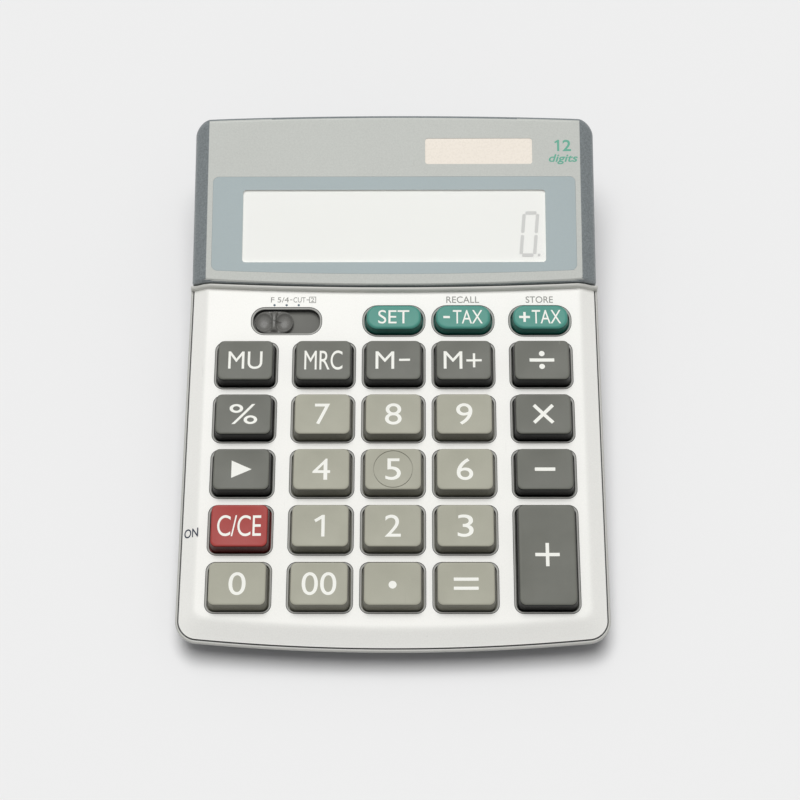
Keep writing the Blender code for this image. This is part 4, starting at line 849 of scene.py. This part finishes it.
hood_rings = [[Vector((p.x, p.y, face_height(p.y) - hood_wall)) for p in under_plan],
              [Vector((p.x, p.y, face_height(p.y) - edge_fall(q) - hood_wall))
               for p, q in zip(inner_plan, outer_plan)],
              level(inner_plan, parting), level(outer_plan, parting)]
hood_marks = [2, 2, 2, 1]
for drop, inward in ((1.2, 0.0), (0.5, 0.0), (0.22, 0.03), (0.06, 0.12)):
    narrower = 1 - inward * mm / hood_half
    hood_rings.append([Vector((p.x * narrower, p.y, face_height(p.y) - edge_fall(p) - drop * mm))
                       for p in outer_plan])
    hood_marks.append(1)
for share in (0.93, 0.8, 0.65, 0.5, 0.35, 0.22, 0.12, 0.05, 0.0, -0.04, -0.09):
    blended = []
    for inner_point, outer_point in zip(face_plan, outer_plan):
        point = inner_point.lerp(outer_point, share)
        fall = max(share, 0.0) ** 1.45
        blended.append(Vector((point.x, point.y, face_height(point.y) - edge_fall(outer_point) * fall)))
    hood_rings.append(blended)
    hood_marks.append(1 if share > 0.0 else 0)
hood = show("display_hood", skin(hood_rings, hood_marks), [hood_paint_lit, hood_paint_shaded, pocket_grey])
# The back and front strips of bevel inside the face's width take the painted-light copy too.
for polygon in hood.data.polygons:
    bowed = bow_back * (polygon.center.x / hood_half) ** 2
    at_back = face_back - 1.0 * mm < polygon.center.y - bowed < hood_back - 0.85 * mm
    at_front = (polygon.center.y < face_front + 4.0 * mm and
                polygon.center.z > face_height(polygon.center.y) - 0.4 * mm)
    if polygon.material_index == 1 and (at_back or at_front) and abs(polygon.center.x) < face_half:
        polygon.material_index = 0

window_half, window_start, window_end, window_bow = 56.0 * mm, 3.05 * mm, 34.4 * mm, 1.2 * mm
window_outline = plan(window_half, window_start, window_end, 1.8 * mm, 1.8 * mm, window_bow, 0.0)
view_half, view_start, view_end = 46.6 * mm, 6.8 * mm, 30.1 * mm
view_middle = Vector((0.0, (view_start + view_end) / 2))
solar_middle = Vector((26.2 * mm, 42.7 * mm))
solar_width, solar_length = 33.2 * mm, 8.4 * mm


def grown_plan(points, grow):
    """An outline moved outwards a little about its middle."""
    middle = Vector((0.0, sum(point.y for point in points) / len(points)))
    reach_x = max(abs(point.x) for point in points)
    reach_y = max(abs(point.y - middle.y) for point in points)
    return [Vector((point.x * (1 + grow / reach_x), middle.y + (point.y - middle.y) * (1 + grow / reach_y)))
            for point in points]


pane_depth = 1.0 * mm
through = rounded(2 * view_half, view_end - view_start, 1.0 * mm, 6, view_middle)


def solar_shape(grow, radius):
    """The solar pane's outline, moved out all round."""
    return rounded(solar_width + 2 * grow, solar_length + 2 * grow, radius, 6, solar_middle)


for outline, deep in ((grown_plan(window_outline, 0.02 * mm), -pane_depth - 0.1 * mm), (through, -4 * mm),
                      (solar_shape(0.02 * mm, 0.9 * mm), -pane_depth - 0.1 * mm),
                      (solar_shape(-0.9 * mm, 0.6 * mm), -4 * mm)):
    carve(hood, slab(outline, deep, 0.5 * mm), pocket_grey, place=to_panel @ face)
soften(hood, 30)
settle(hood, panel)
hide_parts("display_housing")
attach(hood, "case")
print_green = finish_of("print_green", (0.15, 0.45, 0.33), 0.45, contrast=0.12)
one_small = [(0.1, -1.85), (0.75, -1.85), (0.75, 1.85), (0.3, 1.85), (-0.75, 1.15), (-0.5, 0.72), (0.1, 1.08)]
ones = outlined(one_small, ink)
ones.transform(Matrix.Translation((-1.35 * mm, 0.0, 0.0)))
two_small = text_solid("2", 2.6, 3.7, ink, 0.016)
two_small.transform(Matrix.Translation((1.75 * mm, 0.0, 0.0)))
printed("word_twelve", joined(ones, two_small), print_green,
        face @ Matrix.Translation((51.8 * mm, 44.5 * mm, 0.0)))
printed("word_digits", text_solid("digits", 9.0, 3.3, ink, 0.016, slant=0.25), print_green,
        face @ Matrix.Translation((52.4 * mm, 40.0 * mm, 0.0)))


# ---------------------------------------------------------------- display window
# One flat acrylic pane glued flush into the hood: a blue-grey band printed on its back, left clear
# over the display.

band_print = finish_of("window_band_print", (0.43, 0.50, 0.51), 0.22, grain=1500, contrast=0.05, cloud=25,
                       cloud_contrast=0.08, bump=0.000001, coat=1.0)


def clear_pane(name, tint, roughness=0.03):
    """Clear acrylic with a faint haze of fine dust: lamps pass straight through it."""
    pane = bpy.data.materials.new(name)
    pane.use_nodes = True
    tree = pane.node_tree
    spots = add(tree, "ShaderNodeGroup", {"Grain per metre": 900.0}, node_tree=speckle)["Height"]
    gloss = add(tree, "ShaderNodeMapRange", {"Value": spots, "From Min": 0.55, "From Max": 0.80,
                                             "To Min": roughness, "To Max": roughness + 0.10})["Result"]
    shader = fill(tree, tree.nodes["Principled BSDF"], {
        "Base Color": (*tint, 1.0), "Transmission Weight": 1.0, "IOR": 1.49,
        "Roughness": gloss}).outputs["BSDF"]
    straight = add(tree, "ShaderNodeBsdfTransparent", {"Color": (*tint, 1.0)})["BSDF"]
    ray = add(tree, "ShaderNodeLightPath", {})
    lamp_ray = maths(tree, "MAXIMUM", ray["Is Shadow Ray"], ray["Is Diffuse Ray"])
    choice = add(tree, "ShaderNodeMixShader", {"Fac": lamp_ray, 1: shader, 2: straight})["Shader"]
    fill(tree, tree.nodes["Material Output"], {"Surface": choice})
    return pane


# Painted light: the band's inner wall round the display opening is made pale so no dark shade line shows at the
# display's edge.
pale_opening_wall = finish_of("window_pane_edge", (0.86, 0.87, 0.83), 0.4, contrast=0.05)
opening_corners = plan(view_half, view_start, view_end, 1.0 * mm, 1.0 * mm, 0.0, 0.0)
band_low = -pane_depth + 0.06 * mm
band_mesh = skin([level(window_outline, band_low), level(window_outline, -0.04 * mm),
                  level(grown_plan(window_outline, -0.04 * mm), 0.0), level(opening_corners, 0.0),
                  level(opening_corners, band_low)], [0, 0, 0, 1, 0], closed_round=True)
band = show("display_window_band", band_mesh, [band_print, pale_opening_wall])
soften(band, 30)
settle(band, face)
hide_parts("display_window")
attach(band, "case")
clear_acrylic = clear_pane("clear_acrylic", (1.0, 1.0, 1.0))
pane_outline = rounded(2 * view_half - 0.02 * mm, view_end - view_start - 0.02 * mm, 1.0 * mm, 8, view_middle)
pane_piece = show("display_window_clear", slab(pane_outline, -0.45 * mm, 0.0), [clear_acrylic])
soften(pane_piece, 30)
settle(pane_piece, face)
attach(pane_piece, "case")


# ---------------------------------------------------------------- liquid crystal display
# A glass sandwich over a pale reflector. One digit and its point are lit; they float just over the
# reflector, so they throw a faint shadow on it.

reflector = finish_of("lcd_reflector", (0.985, 0.99, 0.95), 0.45, grain=1800, contrast=0.03, cloud=20,
                      cloud_contrast=0.02, bump=0.000001)
segment_grey = finish_of("lcd_segment", (0.70, 0.70, 0.68), 0.4, contrast=0.04)
lcd_mesh = slab(pane_outline, -4.4 * mm, -0.60 * mm)
for point in lcd_mesh.vertices:
    if point.co.z < -2.0 * mm:
        point.co.x *= 1.0 + 2.2 * mm / view_half
lcd = show("lcd_glass", lcd_mesh, [reflector])
soften(lcd, 30)
settle(lcd, face)
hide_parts("lcd_panel")
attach(lcd, "case")

digit_left, digit_right, digit_foot, digit_top = 38.9 * mm, 44.1 * mm, 8.6 * mm, 23.2 * mm
lean, segment = 0.085, 1.05 * mm


def segment_bar(start, end):
    """One display segment: a bar with pointed ends."""
    along = (end - start).normalized()
    across = Vector((-along.y, along.x)) * segment / 2
    tip = along * segment / 2
    return [start + tip * 0.5, start + tip + across * -1, end - tip + across * -1, end - tip * 0.5,
            end - tip + across, start + tip + across]


corner_a = Vector((digit_left, digit_foot + segment / 2))
corner_b = Vector((digit_right - segment, digit_foot + segment / 2))
corner_c = Vector((digit_left, digit_top - segment / 2))
corner_d = Vector((digit_right - segment, digit_top - segment / 2))
mid_left, mid_right = (corner_a + corner_c) / 2, (corner_b + corner_d) / 2
digit_mesh = bpy.data.meshes.new("lcd_digit")
for start, end in ((corner_a, corner_b), (corner_c, corner_d), (corner_a, mid_left), (mid_left, corner_c),
                   (corner_b, mid_right), (mid_right, corner_d)):
    bar = [Vector((point.x + (point.y - digit_foot) * lean, point.y)) for point in segment_bar(start, end)]
    slab(bar, -0.56 * mm, -0.53 * mm, digit_mesh)
point_middle = Vector((digit_right + 0.35 * mm, digit_foot + 0.55 * mm))
point_outline = [point_middle + Vector((x, y)) * 0.40 * mm for x, y in ((-1, -1), (1, -1), (1, 1), (-1, 1))]
slab(point_outline, -0.56 * mm, -0.53 * mm, digit_mesh)
digit = show("lcd_digit", digit_mesh, [segment_grey])
settle(digit, face)
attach(digit, "case")


# ---------------------------------------------------------------- solar strip
# A creamy diffusing pane over the solar cell, glued into its own seat in the hood.

cream = finish_of("solar_diffuser", (0.95, 0.875, 0.775), 0.28, grain=1500, contrast=0.02, cloud=60,
                  cloud_contrast=0.02, bump=0.000001, coat=0.8)
solar_outline = solar_shape(0.0, 0.8 * mm)
solar_pane = show("solar_window_pane", skin([level(solar_outline, height) for height in
                                             (-0.9 * mm, -0.16 * mm, -0.10 * mm)]), [cream])
soften(solar_pane, 30)
settle(solar_pane, face)
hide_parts("solar_window")
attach(solar_pane, "case")


# ---------------------------------------------------------------- lower case
# The dark bottom half of the case: a shallow tray whose wall draws in under the rim, with sleeves
# for the screws, pegs under the board, a battery compartment and round seats for the feet.

case_black = finish_of("case_black", (0.105, 0.105, 0.118), 0.52, grain=2500, contrast=0.2, bump=0.00003)
# Painted shade: the tray's inside, its sleeves, pegs, compartment and holes get a darker copy of the case black.
shadow_black = finish_of("case_black_inside", (0.06, 0.06, 0.066), 0.6, contrast=0.2, bump=0.00001)
tray_low = spread("lower_case", Matrix.Identity(4))[0]
cover_low, cover_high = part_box("battery_cover")
cover_low, cover_high = Vector(cover_low), Vector(cover_high)
cell_high = Vector(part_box("battery_cell")[1])
fit = 0.3 * mm
tray_floor = tray_low.z + 1.6 * mm
tray_rim = parting - fit
tray_back = hood_back - 0.02 * mm


def tray_plan(inset, radius_cut):
    """The whole case seen from above, moved in from its outer edge."""
    return plan(hood_half - inset, panel_front + 0.5 * mm + inset, tray_back - inset, 6.0 * mm - radius_cut,
                hood_corner - radius_cut, bow_front, bow_back)


def tray_ring(inset, radius_cut, height):
    """The tray's outline at one depth under the key panel."""
    return [panel @ point for point in level(tray_plan(inset, radius_cut), height)]


def dropped(inset, radius_cut, height):
    """The tray's outline dropped from its rim to one height over the table."""
    return [Vector((place.x, place.y, height)) for place in tray_ring(inset, radius_cut, tray_rim)]


inner, bevel, inset_foot = 1.8 * mm, 2.2 * mm, 4.6 * mm
tray_rings = [dropped(inset_foot + inner, inner, tray_floor),
              dropped(bevel + inner, inner, tray_floor + bevel),
              tray_ring(inner, inner, tray_rim), tray_ring(0.15 * mm, 0.0, tray_rim),
              tray_ring(0.0, 0.0, tray_rim - 0.15 * mm)]
top_ring = tray_rings[-1]
knee_ring = dropped(bevel, bevel / 2, tray_low.z + bevel)
foot_ring = dropped(inset_foot, bevel / 2, tray_low.z)
for share in (0.5, 0.85, 0.95):
    tray_rings.append([high.lerp(low, share) for high, low in zip(top_ring, knee_ring)])
for share in (0.08, 0.25, 0.8, 0.93):
    tray_rings.append([high.lerp(low, share) for high, low in zip(knee_ring, foot_ring)])
tray_rings.append([Vector((point.x * 0.9985, point.y * 0.9985, point.z)) for point in foot_ring])
tray = show("case_bottom", skin(tray_rings, [1, 1, 1] + [0] * 9), [case_black, shadow_black])


def rods(places, radius, foot, head, steps=40):
    """Round bars standing at several places, from one height to another."""
    mesh = bpy.data.meshes.new("rods")
    for place in places:
        slab(circle(radius, steps, place), foot, head, mesh)
    return mesh


def box_mesh(low, high, radius=0.4 * mm):
    """A block with small corner radii."""
    return slab(rounded(high.x - low.x, high.y - low.y, radius, 5, (low.xy + high.xy) / 2), low.z, high.z)


def middle_of(node):
    """Middle of a CAD piece, measured from the middle of the key panel."""
    low, high = panel_box(node)
    return (low + high) / 2


def panel_depth(along, height):
    """Depth under the panel of a height over the table, at one place up the panel."""
    tilt = panel.to_3x3() @ Vector((0, 0, 1))
    return (height - panel.translation.z - along * (panel.to_3x3() @ Vector((0, 1, 0))).z) / tilt.z


screw_groups = {"case": ["case_screw_1", "case_screw_2", "case_screw_3", "case_screw_4"],
                "hood": ["housing_screw_1", "housing_screw_2"]}
board_low = panel_box("main_pcb")[0]
seats = {group: panel_box(names[0])[0].z + 1.2 * mm for group, names in screw_groups.items()}
tops = {"case": board_low.z - 2 * fit, "hood": tray_rim}
for cut in (False, True):
    for group, names in screw_groups.items():
        for name in names:
            place = middle_of(name)
            floor_depth = panel_depth(place.y, tray_low.z)
            if not cut:
                sleeve = rods([place], 3.0 * mm, floor_depth + 0.8 * mm, tops[group])
                carve(tray, sleeve, shadow_black, "UNION", panel)
            else:
                for radius, foot, head in ((1.2 * mm, floor_depth - 0.5 * mm, tops[group] + 0.5 * mm),
                                           (2.1 * mm, floor_depth - 1.2 * mm, seats[group])):
                    carve(tray, rods([place], radius, foot, head), shadow_black, place=panel)
for side in (-1, 1):
    for row in (key_size("key_1")[0].y, 2 * key_size("key_7")[0].y - key_size("key_4")[0].y):
        peg = rods([Vector((side * key_size("key_9")[0].x, row, 0.0))], 1.5 * mm,
                   panel_depth(row, tray_floor) - 0.8 * mm, board_low.z - fit)
        carve(tray, peg, shadow_black, "UNION", panel)
cell_middle = (cover_low + cover_high) / 2
cover_half = (cover_high - cover_low) / 2 + Vector((fit, fit, 0.0))
roof = cell_high.z + 1.2 * mm


def on_cover(half_x, half_y, low_z, high_z, radius=0.4 * mm):
    """A block centred on the battery cover."""
    return box_mesh(Vector((cell_middle.x - half_x, cell_middle.y - half_y, low_z)),
                    Vector((cell_middle.x + half_x, cell_middle.y + half_y, high_z)), radius)


carve(tray, on_cover(cover_half.x + 1.8 * mm, cover_half.y + 1.8 * mm, tray_low.z + 0.8 * mm, roof + 1.8 * mm),
      shadow_black, "UNION")
carve(tray, on_cover(cover_half.x, cover_half.y, tray_low.z - 0.5 * mm, cover_high.z + fit), case_black)
carve(tray, on_cover(cover_half.x - 4.2 * mm, cover_half.y - 1.8 * mm, tray_low.z, roof), shadow_black)
for node in ("battery_contact_positive", "battery_contact_negative"):
    low, high = (Vector(corner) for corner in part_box(node))
    across = low.x if node.endswith("positive") else high.x
    slit_x = across + (0.15 * mm if node.endswith("positive") else -0.15 * mm)
    carve(tray, box_mesh(Vector((slit_x - 0.45 * mm, low.y - fit, roof - 0.5 * mm)),
                         Vector((slit_x + 0.45 * mm, high.y + fit, roof + 2.3 * mm)), 0.1 * mm), shadow_black)
battery_screw_low, battery_screw_high = (Vector(corner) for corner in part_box("battery_screw"))
battery_screw_middle = (battery_screw_low + battery_screw_high) / 2
carve(tray, rods([battery_screw_middle], 1.2 * mm, tray_low.z, cover_high.z + 4.0 * mm), shadow_black)
feet = ["foot_front_left", "foot_front_right", "foot_back_left", "foot_back_right"]
foot_boxes = [[Vector(corner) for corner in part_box(node)] for node in feet]
foot_middles = [(low + high) / 2 for low, high in foot_boxes]
carve(tray, rods(foot_middles, 4.8 * mm, tray_low.z - 0.5 * mm, tray_low.z + 0.6 * mm, 64), case_black)
soften(tray, 32)
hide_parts("lower_case")
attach(tray, "case")


# ---------------------------------------------------------------- feet, screws and battery cover
# Four rubber discs with a ringed tread, seven zinc-plated screws with cross recesses, and a
# coverplate with grip lines. One Geometry Nodes tree sets a shape at each place it is given.

set_out, given, out = node_group("set_out", "GeometryNodeTree", [
    ("Shape", "Object"), ("Places", "Object"), ("Material", "Material")], [("Geometry", "Geometry")])
shape_in, places_in = [add(set_out, "GeometryNodeObjectInfo", {"Object": given[label]})["Geometry"]
                       for label in ("Shape", "Places")]
standing = add(set_out, "GeometryNodeInstanceOnPoints", {"Points": places_in, "Instance": shape_in})
made_real(set_out, standing["Instances"], given, out)


def stand(name, shape_mesh, places, finish):
    """One shape repeated at several places, as a plain mesh."""
    shape = show(name + "_shape", shape_mesh, [])
    marks_mesh = bpy.data.meshes.new(name + "_places")
    marks_mesh.from_pydata([tuple(place) for place in places], [], [])
    spots = show(name + "_places", marks_mesh, [])
    made = show(name, grown_mesh(name, set_out, {"Shape": shape, "Places": spots, "Material": finish}), [])
    bpy.data.objects.remove(shape)
    bpy.data.objects.remove(spots)
    return made


def turned(profile, steps=48):
    """A solid of revolution from (radius, height) steps, its ends closed by flat caps."""
    return skin([level(circle(radius, steps), height) for radius, height in profile])


rubber = finish_of("foot_rubber", (0.030, 0.030, 0.031), 0.82, contrast=0.25, bump=0.00003)
foot_height = foot_boxes[0][1].z - foot_boxes[0][0].z
tread = [(4.5, foot_height / mm), (4.5, 0.35), (4.42, 0.12), (4.2, 0.0), (3.6, 0.0), (3.5, 0.22),
         (3.15, 0.22), (3.05, 0.0), (2.3, 0.0), (2.2, 0.22), (1.85, 0.22), (1.75, 0.0), (0.9, 0.0),
         (0.8, 0.22), (0.3, 0.22)]
foot_set = stand("feet", turned([(radius * mm, height * mm) for radius, height in tread], 64),
                 [(place.x, place.y, 0.0) for place in foot_middles], rubber)
soften(foot_set, 35)
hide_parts(*feet)
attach(foot_set, "case")

zinc = finish_of("screw_zinc", (0.52, 0.52, 0.54), 0.3, metallic=1.0, contrast=0.15, scuff=0.5)


def screw_shape(length):
    """A pan head screw, head down: domed head, cross recess, threaded shank and a blunt tip."""
    head = [(1.05, 0.0), (1.5, 0.12), (1.74, 0.36), (1.8, 0.65), (1.8, 1.2), (0.9, 1.2)]
    reach, height = length / mm, 1.2
    while height + 0.7 < reach - 0.9:
        head += [(0.72, height + 0.18), (0.72, height + 0.3), (0.9, height + 0.45), (0.9, height + 0.5)]
        height += 0.5
    head += [(0.72, reach - 0.7), (0.3, reach)]
    blank = show("blank", turned([(radius * mm, level_up * mm) for radius, level_up in head], 32), [])
    recess = cross(2.1, 0.5, 0, 1.2 * mm)
    recess.transform(Matrix.Translation((0.0, 0.0, -0.5 * mm)))
    take(blank, show("recess", recess, []), finish_from_tool=False)
    shape_mesh = blank.data.copy()
    bpy.data.objects.remove(blank)
    return shape_mesh


for group, names in screw_groups.items():
    low, high = panel_box(names[0])
    driven = stand(group + "_screws", screw_shape(high.z - low.z), [(middle_of(name).xy.to_3d() + Vector(
        (0, 0, panel_box(name)[0].z))) for name in names], zinc)
    soften(driven, 35)
    settle(driven, panel)
    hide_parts(*names)
    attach(driven, "case")
driven = stand("cover_screw", screw_shape(battery_screw_high.z - battery_screw_low.z),
               [(battery_screw_middle.x, battery_screw_middle.y, battery_screw_low.z)], zinc)
soften(driven, 35)
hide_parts("battery_screw")
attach(driven, "case")

cover_size = 2 * (cover_half.xy - Vector((fit, fit)))
cover_outline = rounded(cover_size.x, cover_size.y, 0.8 * mm, 8, cell_middle.xy)
cover = show("battery_cover_plate", skin([
    level([cell_middle.xy + (point - cell_middle.xy) * 0.988 for point in cover_outline], cover_low.z),
    level(cover_outline, cover_low.z + 0.15 * mm), level(cover_outline, cover_high.z)]), [case_black])
for radius, foot, head in ((2.1 * mm, cover_low.z - 0.5 * mm, battery_screw_low.z + 1.2 * mm),
                           (1.2 * mm, cover_low.z, cover_high.z + 0.5 * mm)):
    carve(cover, rods([battery_screw_middle], radius, foot, head), case_black)
lines = [(cell_middle.x + (1.1 * step - 10.5) * mm, cell_middle.y, cover_low.z - 0.1 * mm)
         for step in range(8)]
line = slab(rounded(0.45 * mm, 9.0 * mm, 0.2 * mm, 4), 0.0, 0.4 * mm)
take(cover, stand("grip_lines", line, lines, case_black), finish_from_tool=False)
soften(cover, 32)
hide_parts("battery_cover")
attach(cover, "case")


# ---------------------------------------------------------------- pieces kept from the frame
# The board, its rubber mat and chip, the contacts, wires, cell and display tray keep their CAD shape,
# which is already right, and get the finishes of laminate, silicone, resin, spring strip and nickel.

kept_finishes = {
    "white_plastic": finish_of("holder_white", (0.75, 0.75, 0.72), 0.5, contrast=0.06),
    "connector_film": finish_of("ribbon_film", (0.55, 0.38, 0.12), 0.4, contrast=0.12),
    "solar_glass": finish_of("cell_glass", (0.09, 0.04, 0.04), 0.2, contrast=0.2, coat=0.6),
    "silicone": finish_of("keypad_silicone", (0.28, 0.29, 0.30), 0.75, contrast=0.08, bump=0.00001),
    "board_laminate": finish_of("board_green", (0.03, 0.20, 0.08), 0.4, grain=700, contrast=0.3, cloud=300,
                                cloud_contrast=0.5, coat=0.5),
    "chip_resin": finish_of("chip_resin", (0.015, 0.015, 0.016), 0.25, contrast=0.2, coat=0.4),
    "spring_metal": finish_of("spring_strip", (0.66, 0.60, 0.45), 0.28, metallic=1.0, contrast=0.1, scuff=0.4),
    "nickel": finish_of("nickel_can", (0.68, 0.66, 0.60), 0.25, metallic=1.0, contrast=0.1, scuff=0.4),
    "red_sheath": finish_of("wire_red", (0.55, 0.03, 0.02), 0.4, contrast=0.08),
    "black_sheath": finish_of("wire_black", (0.02, 0.02, 0.02), 0.4, contrast=0.12),
}
slot_of = {part["node"]: part["material_slot"] for part in frame["record"]["subparts"]}
for node, thing in frame["nodes"].items():
    if not thing.hide_render and slot_of[node] in kept_finishes:
        thing.data.materials.clear()
        thing.data.materials.append(kept_finishes[slot_of[node]])


# ---------------------------------------------------------------- camera, light and floor
# A plain pale floor and a dim white room. A wide softbox overhead, kept out of reflections, gives the
# soft shadow, and a weaker strip behind it gives the glossy edges their highlights.

floor_mesh = bpy.data.meshes.new("floor")
floor_mesh.from_pydata([(-4, -4, 0), (4, -4, 0), (4, 4, 0), (-4, 4, 0)], [], [(0, 1, 2, 3)])
matte = bpy.data.materials.new("floor_matte")
matte.use_nodes = True
fill(matte.node_tree, matte.node_tree.nodes["Principled BSDF"], {
    "Base Color": (0.862, 0.862, 0.862, 1.0), "Roughness": 1.0, "Specular IOR Level": 0.0})
floor = show("floor", floor_mesh, [matte])

world = bpy.data.worlds.new("studio")
bpy.context.scene.world = world
world.use_nodes = True
fill(world.node_tree, world.node_tree.nodes["Background"], {"Color": (1.0, 1.0, 1.0, 1.0), "Strength": 0.25})


def stood(name, data, turn):
    """A lamp or a camera in the scene, turned by three angles in degrees."""
    thing = show(name, data, [])
    thing.rotation_euler = [math.radians(angle) for angle in turn]
    return thing


def lamp(name, energy, spread_angle, turn):
    """A far lamp whose light comes from a wide patch of sky."""
    data = bpy.data.lights.new(name, "SUN")
    data.energy = energy
    data.angle = math.radians(spread_angle)
    return stood(name, data, turn)


softbox = lamp("softbox", 1.98, 40, (-10, -2, 0))
softbox.visible_glossy = False
softbox.visible_transmission = False
lamp("strip", 0.45, 25, (-26, -4, 0))

lens = bpy.data.cameras.new("camera")
lens.lens = 85.5
lens.sensor_width = 36.0
camera = stood("camera", lens, (27.3417, 0.4384, 0.1849))
camera.location = (0.006631, -0.268576, 0.522458)
bpy.context.scene.camera = camera
bpy.context.scene.view_settings.view_transform = "Standard"
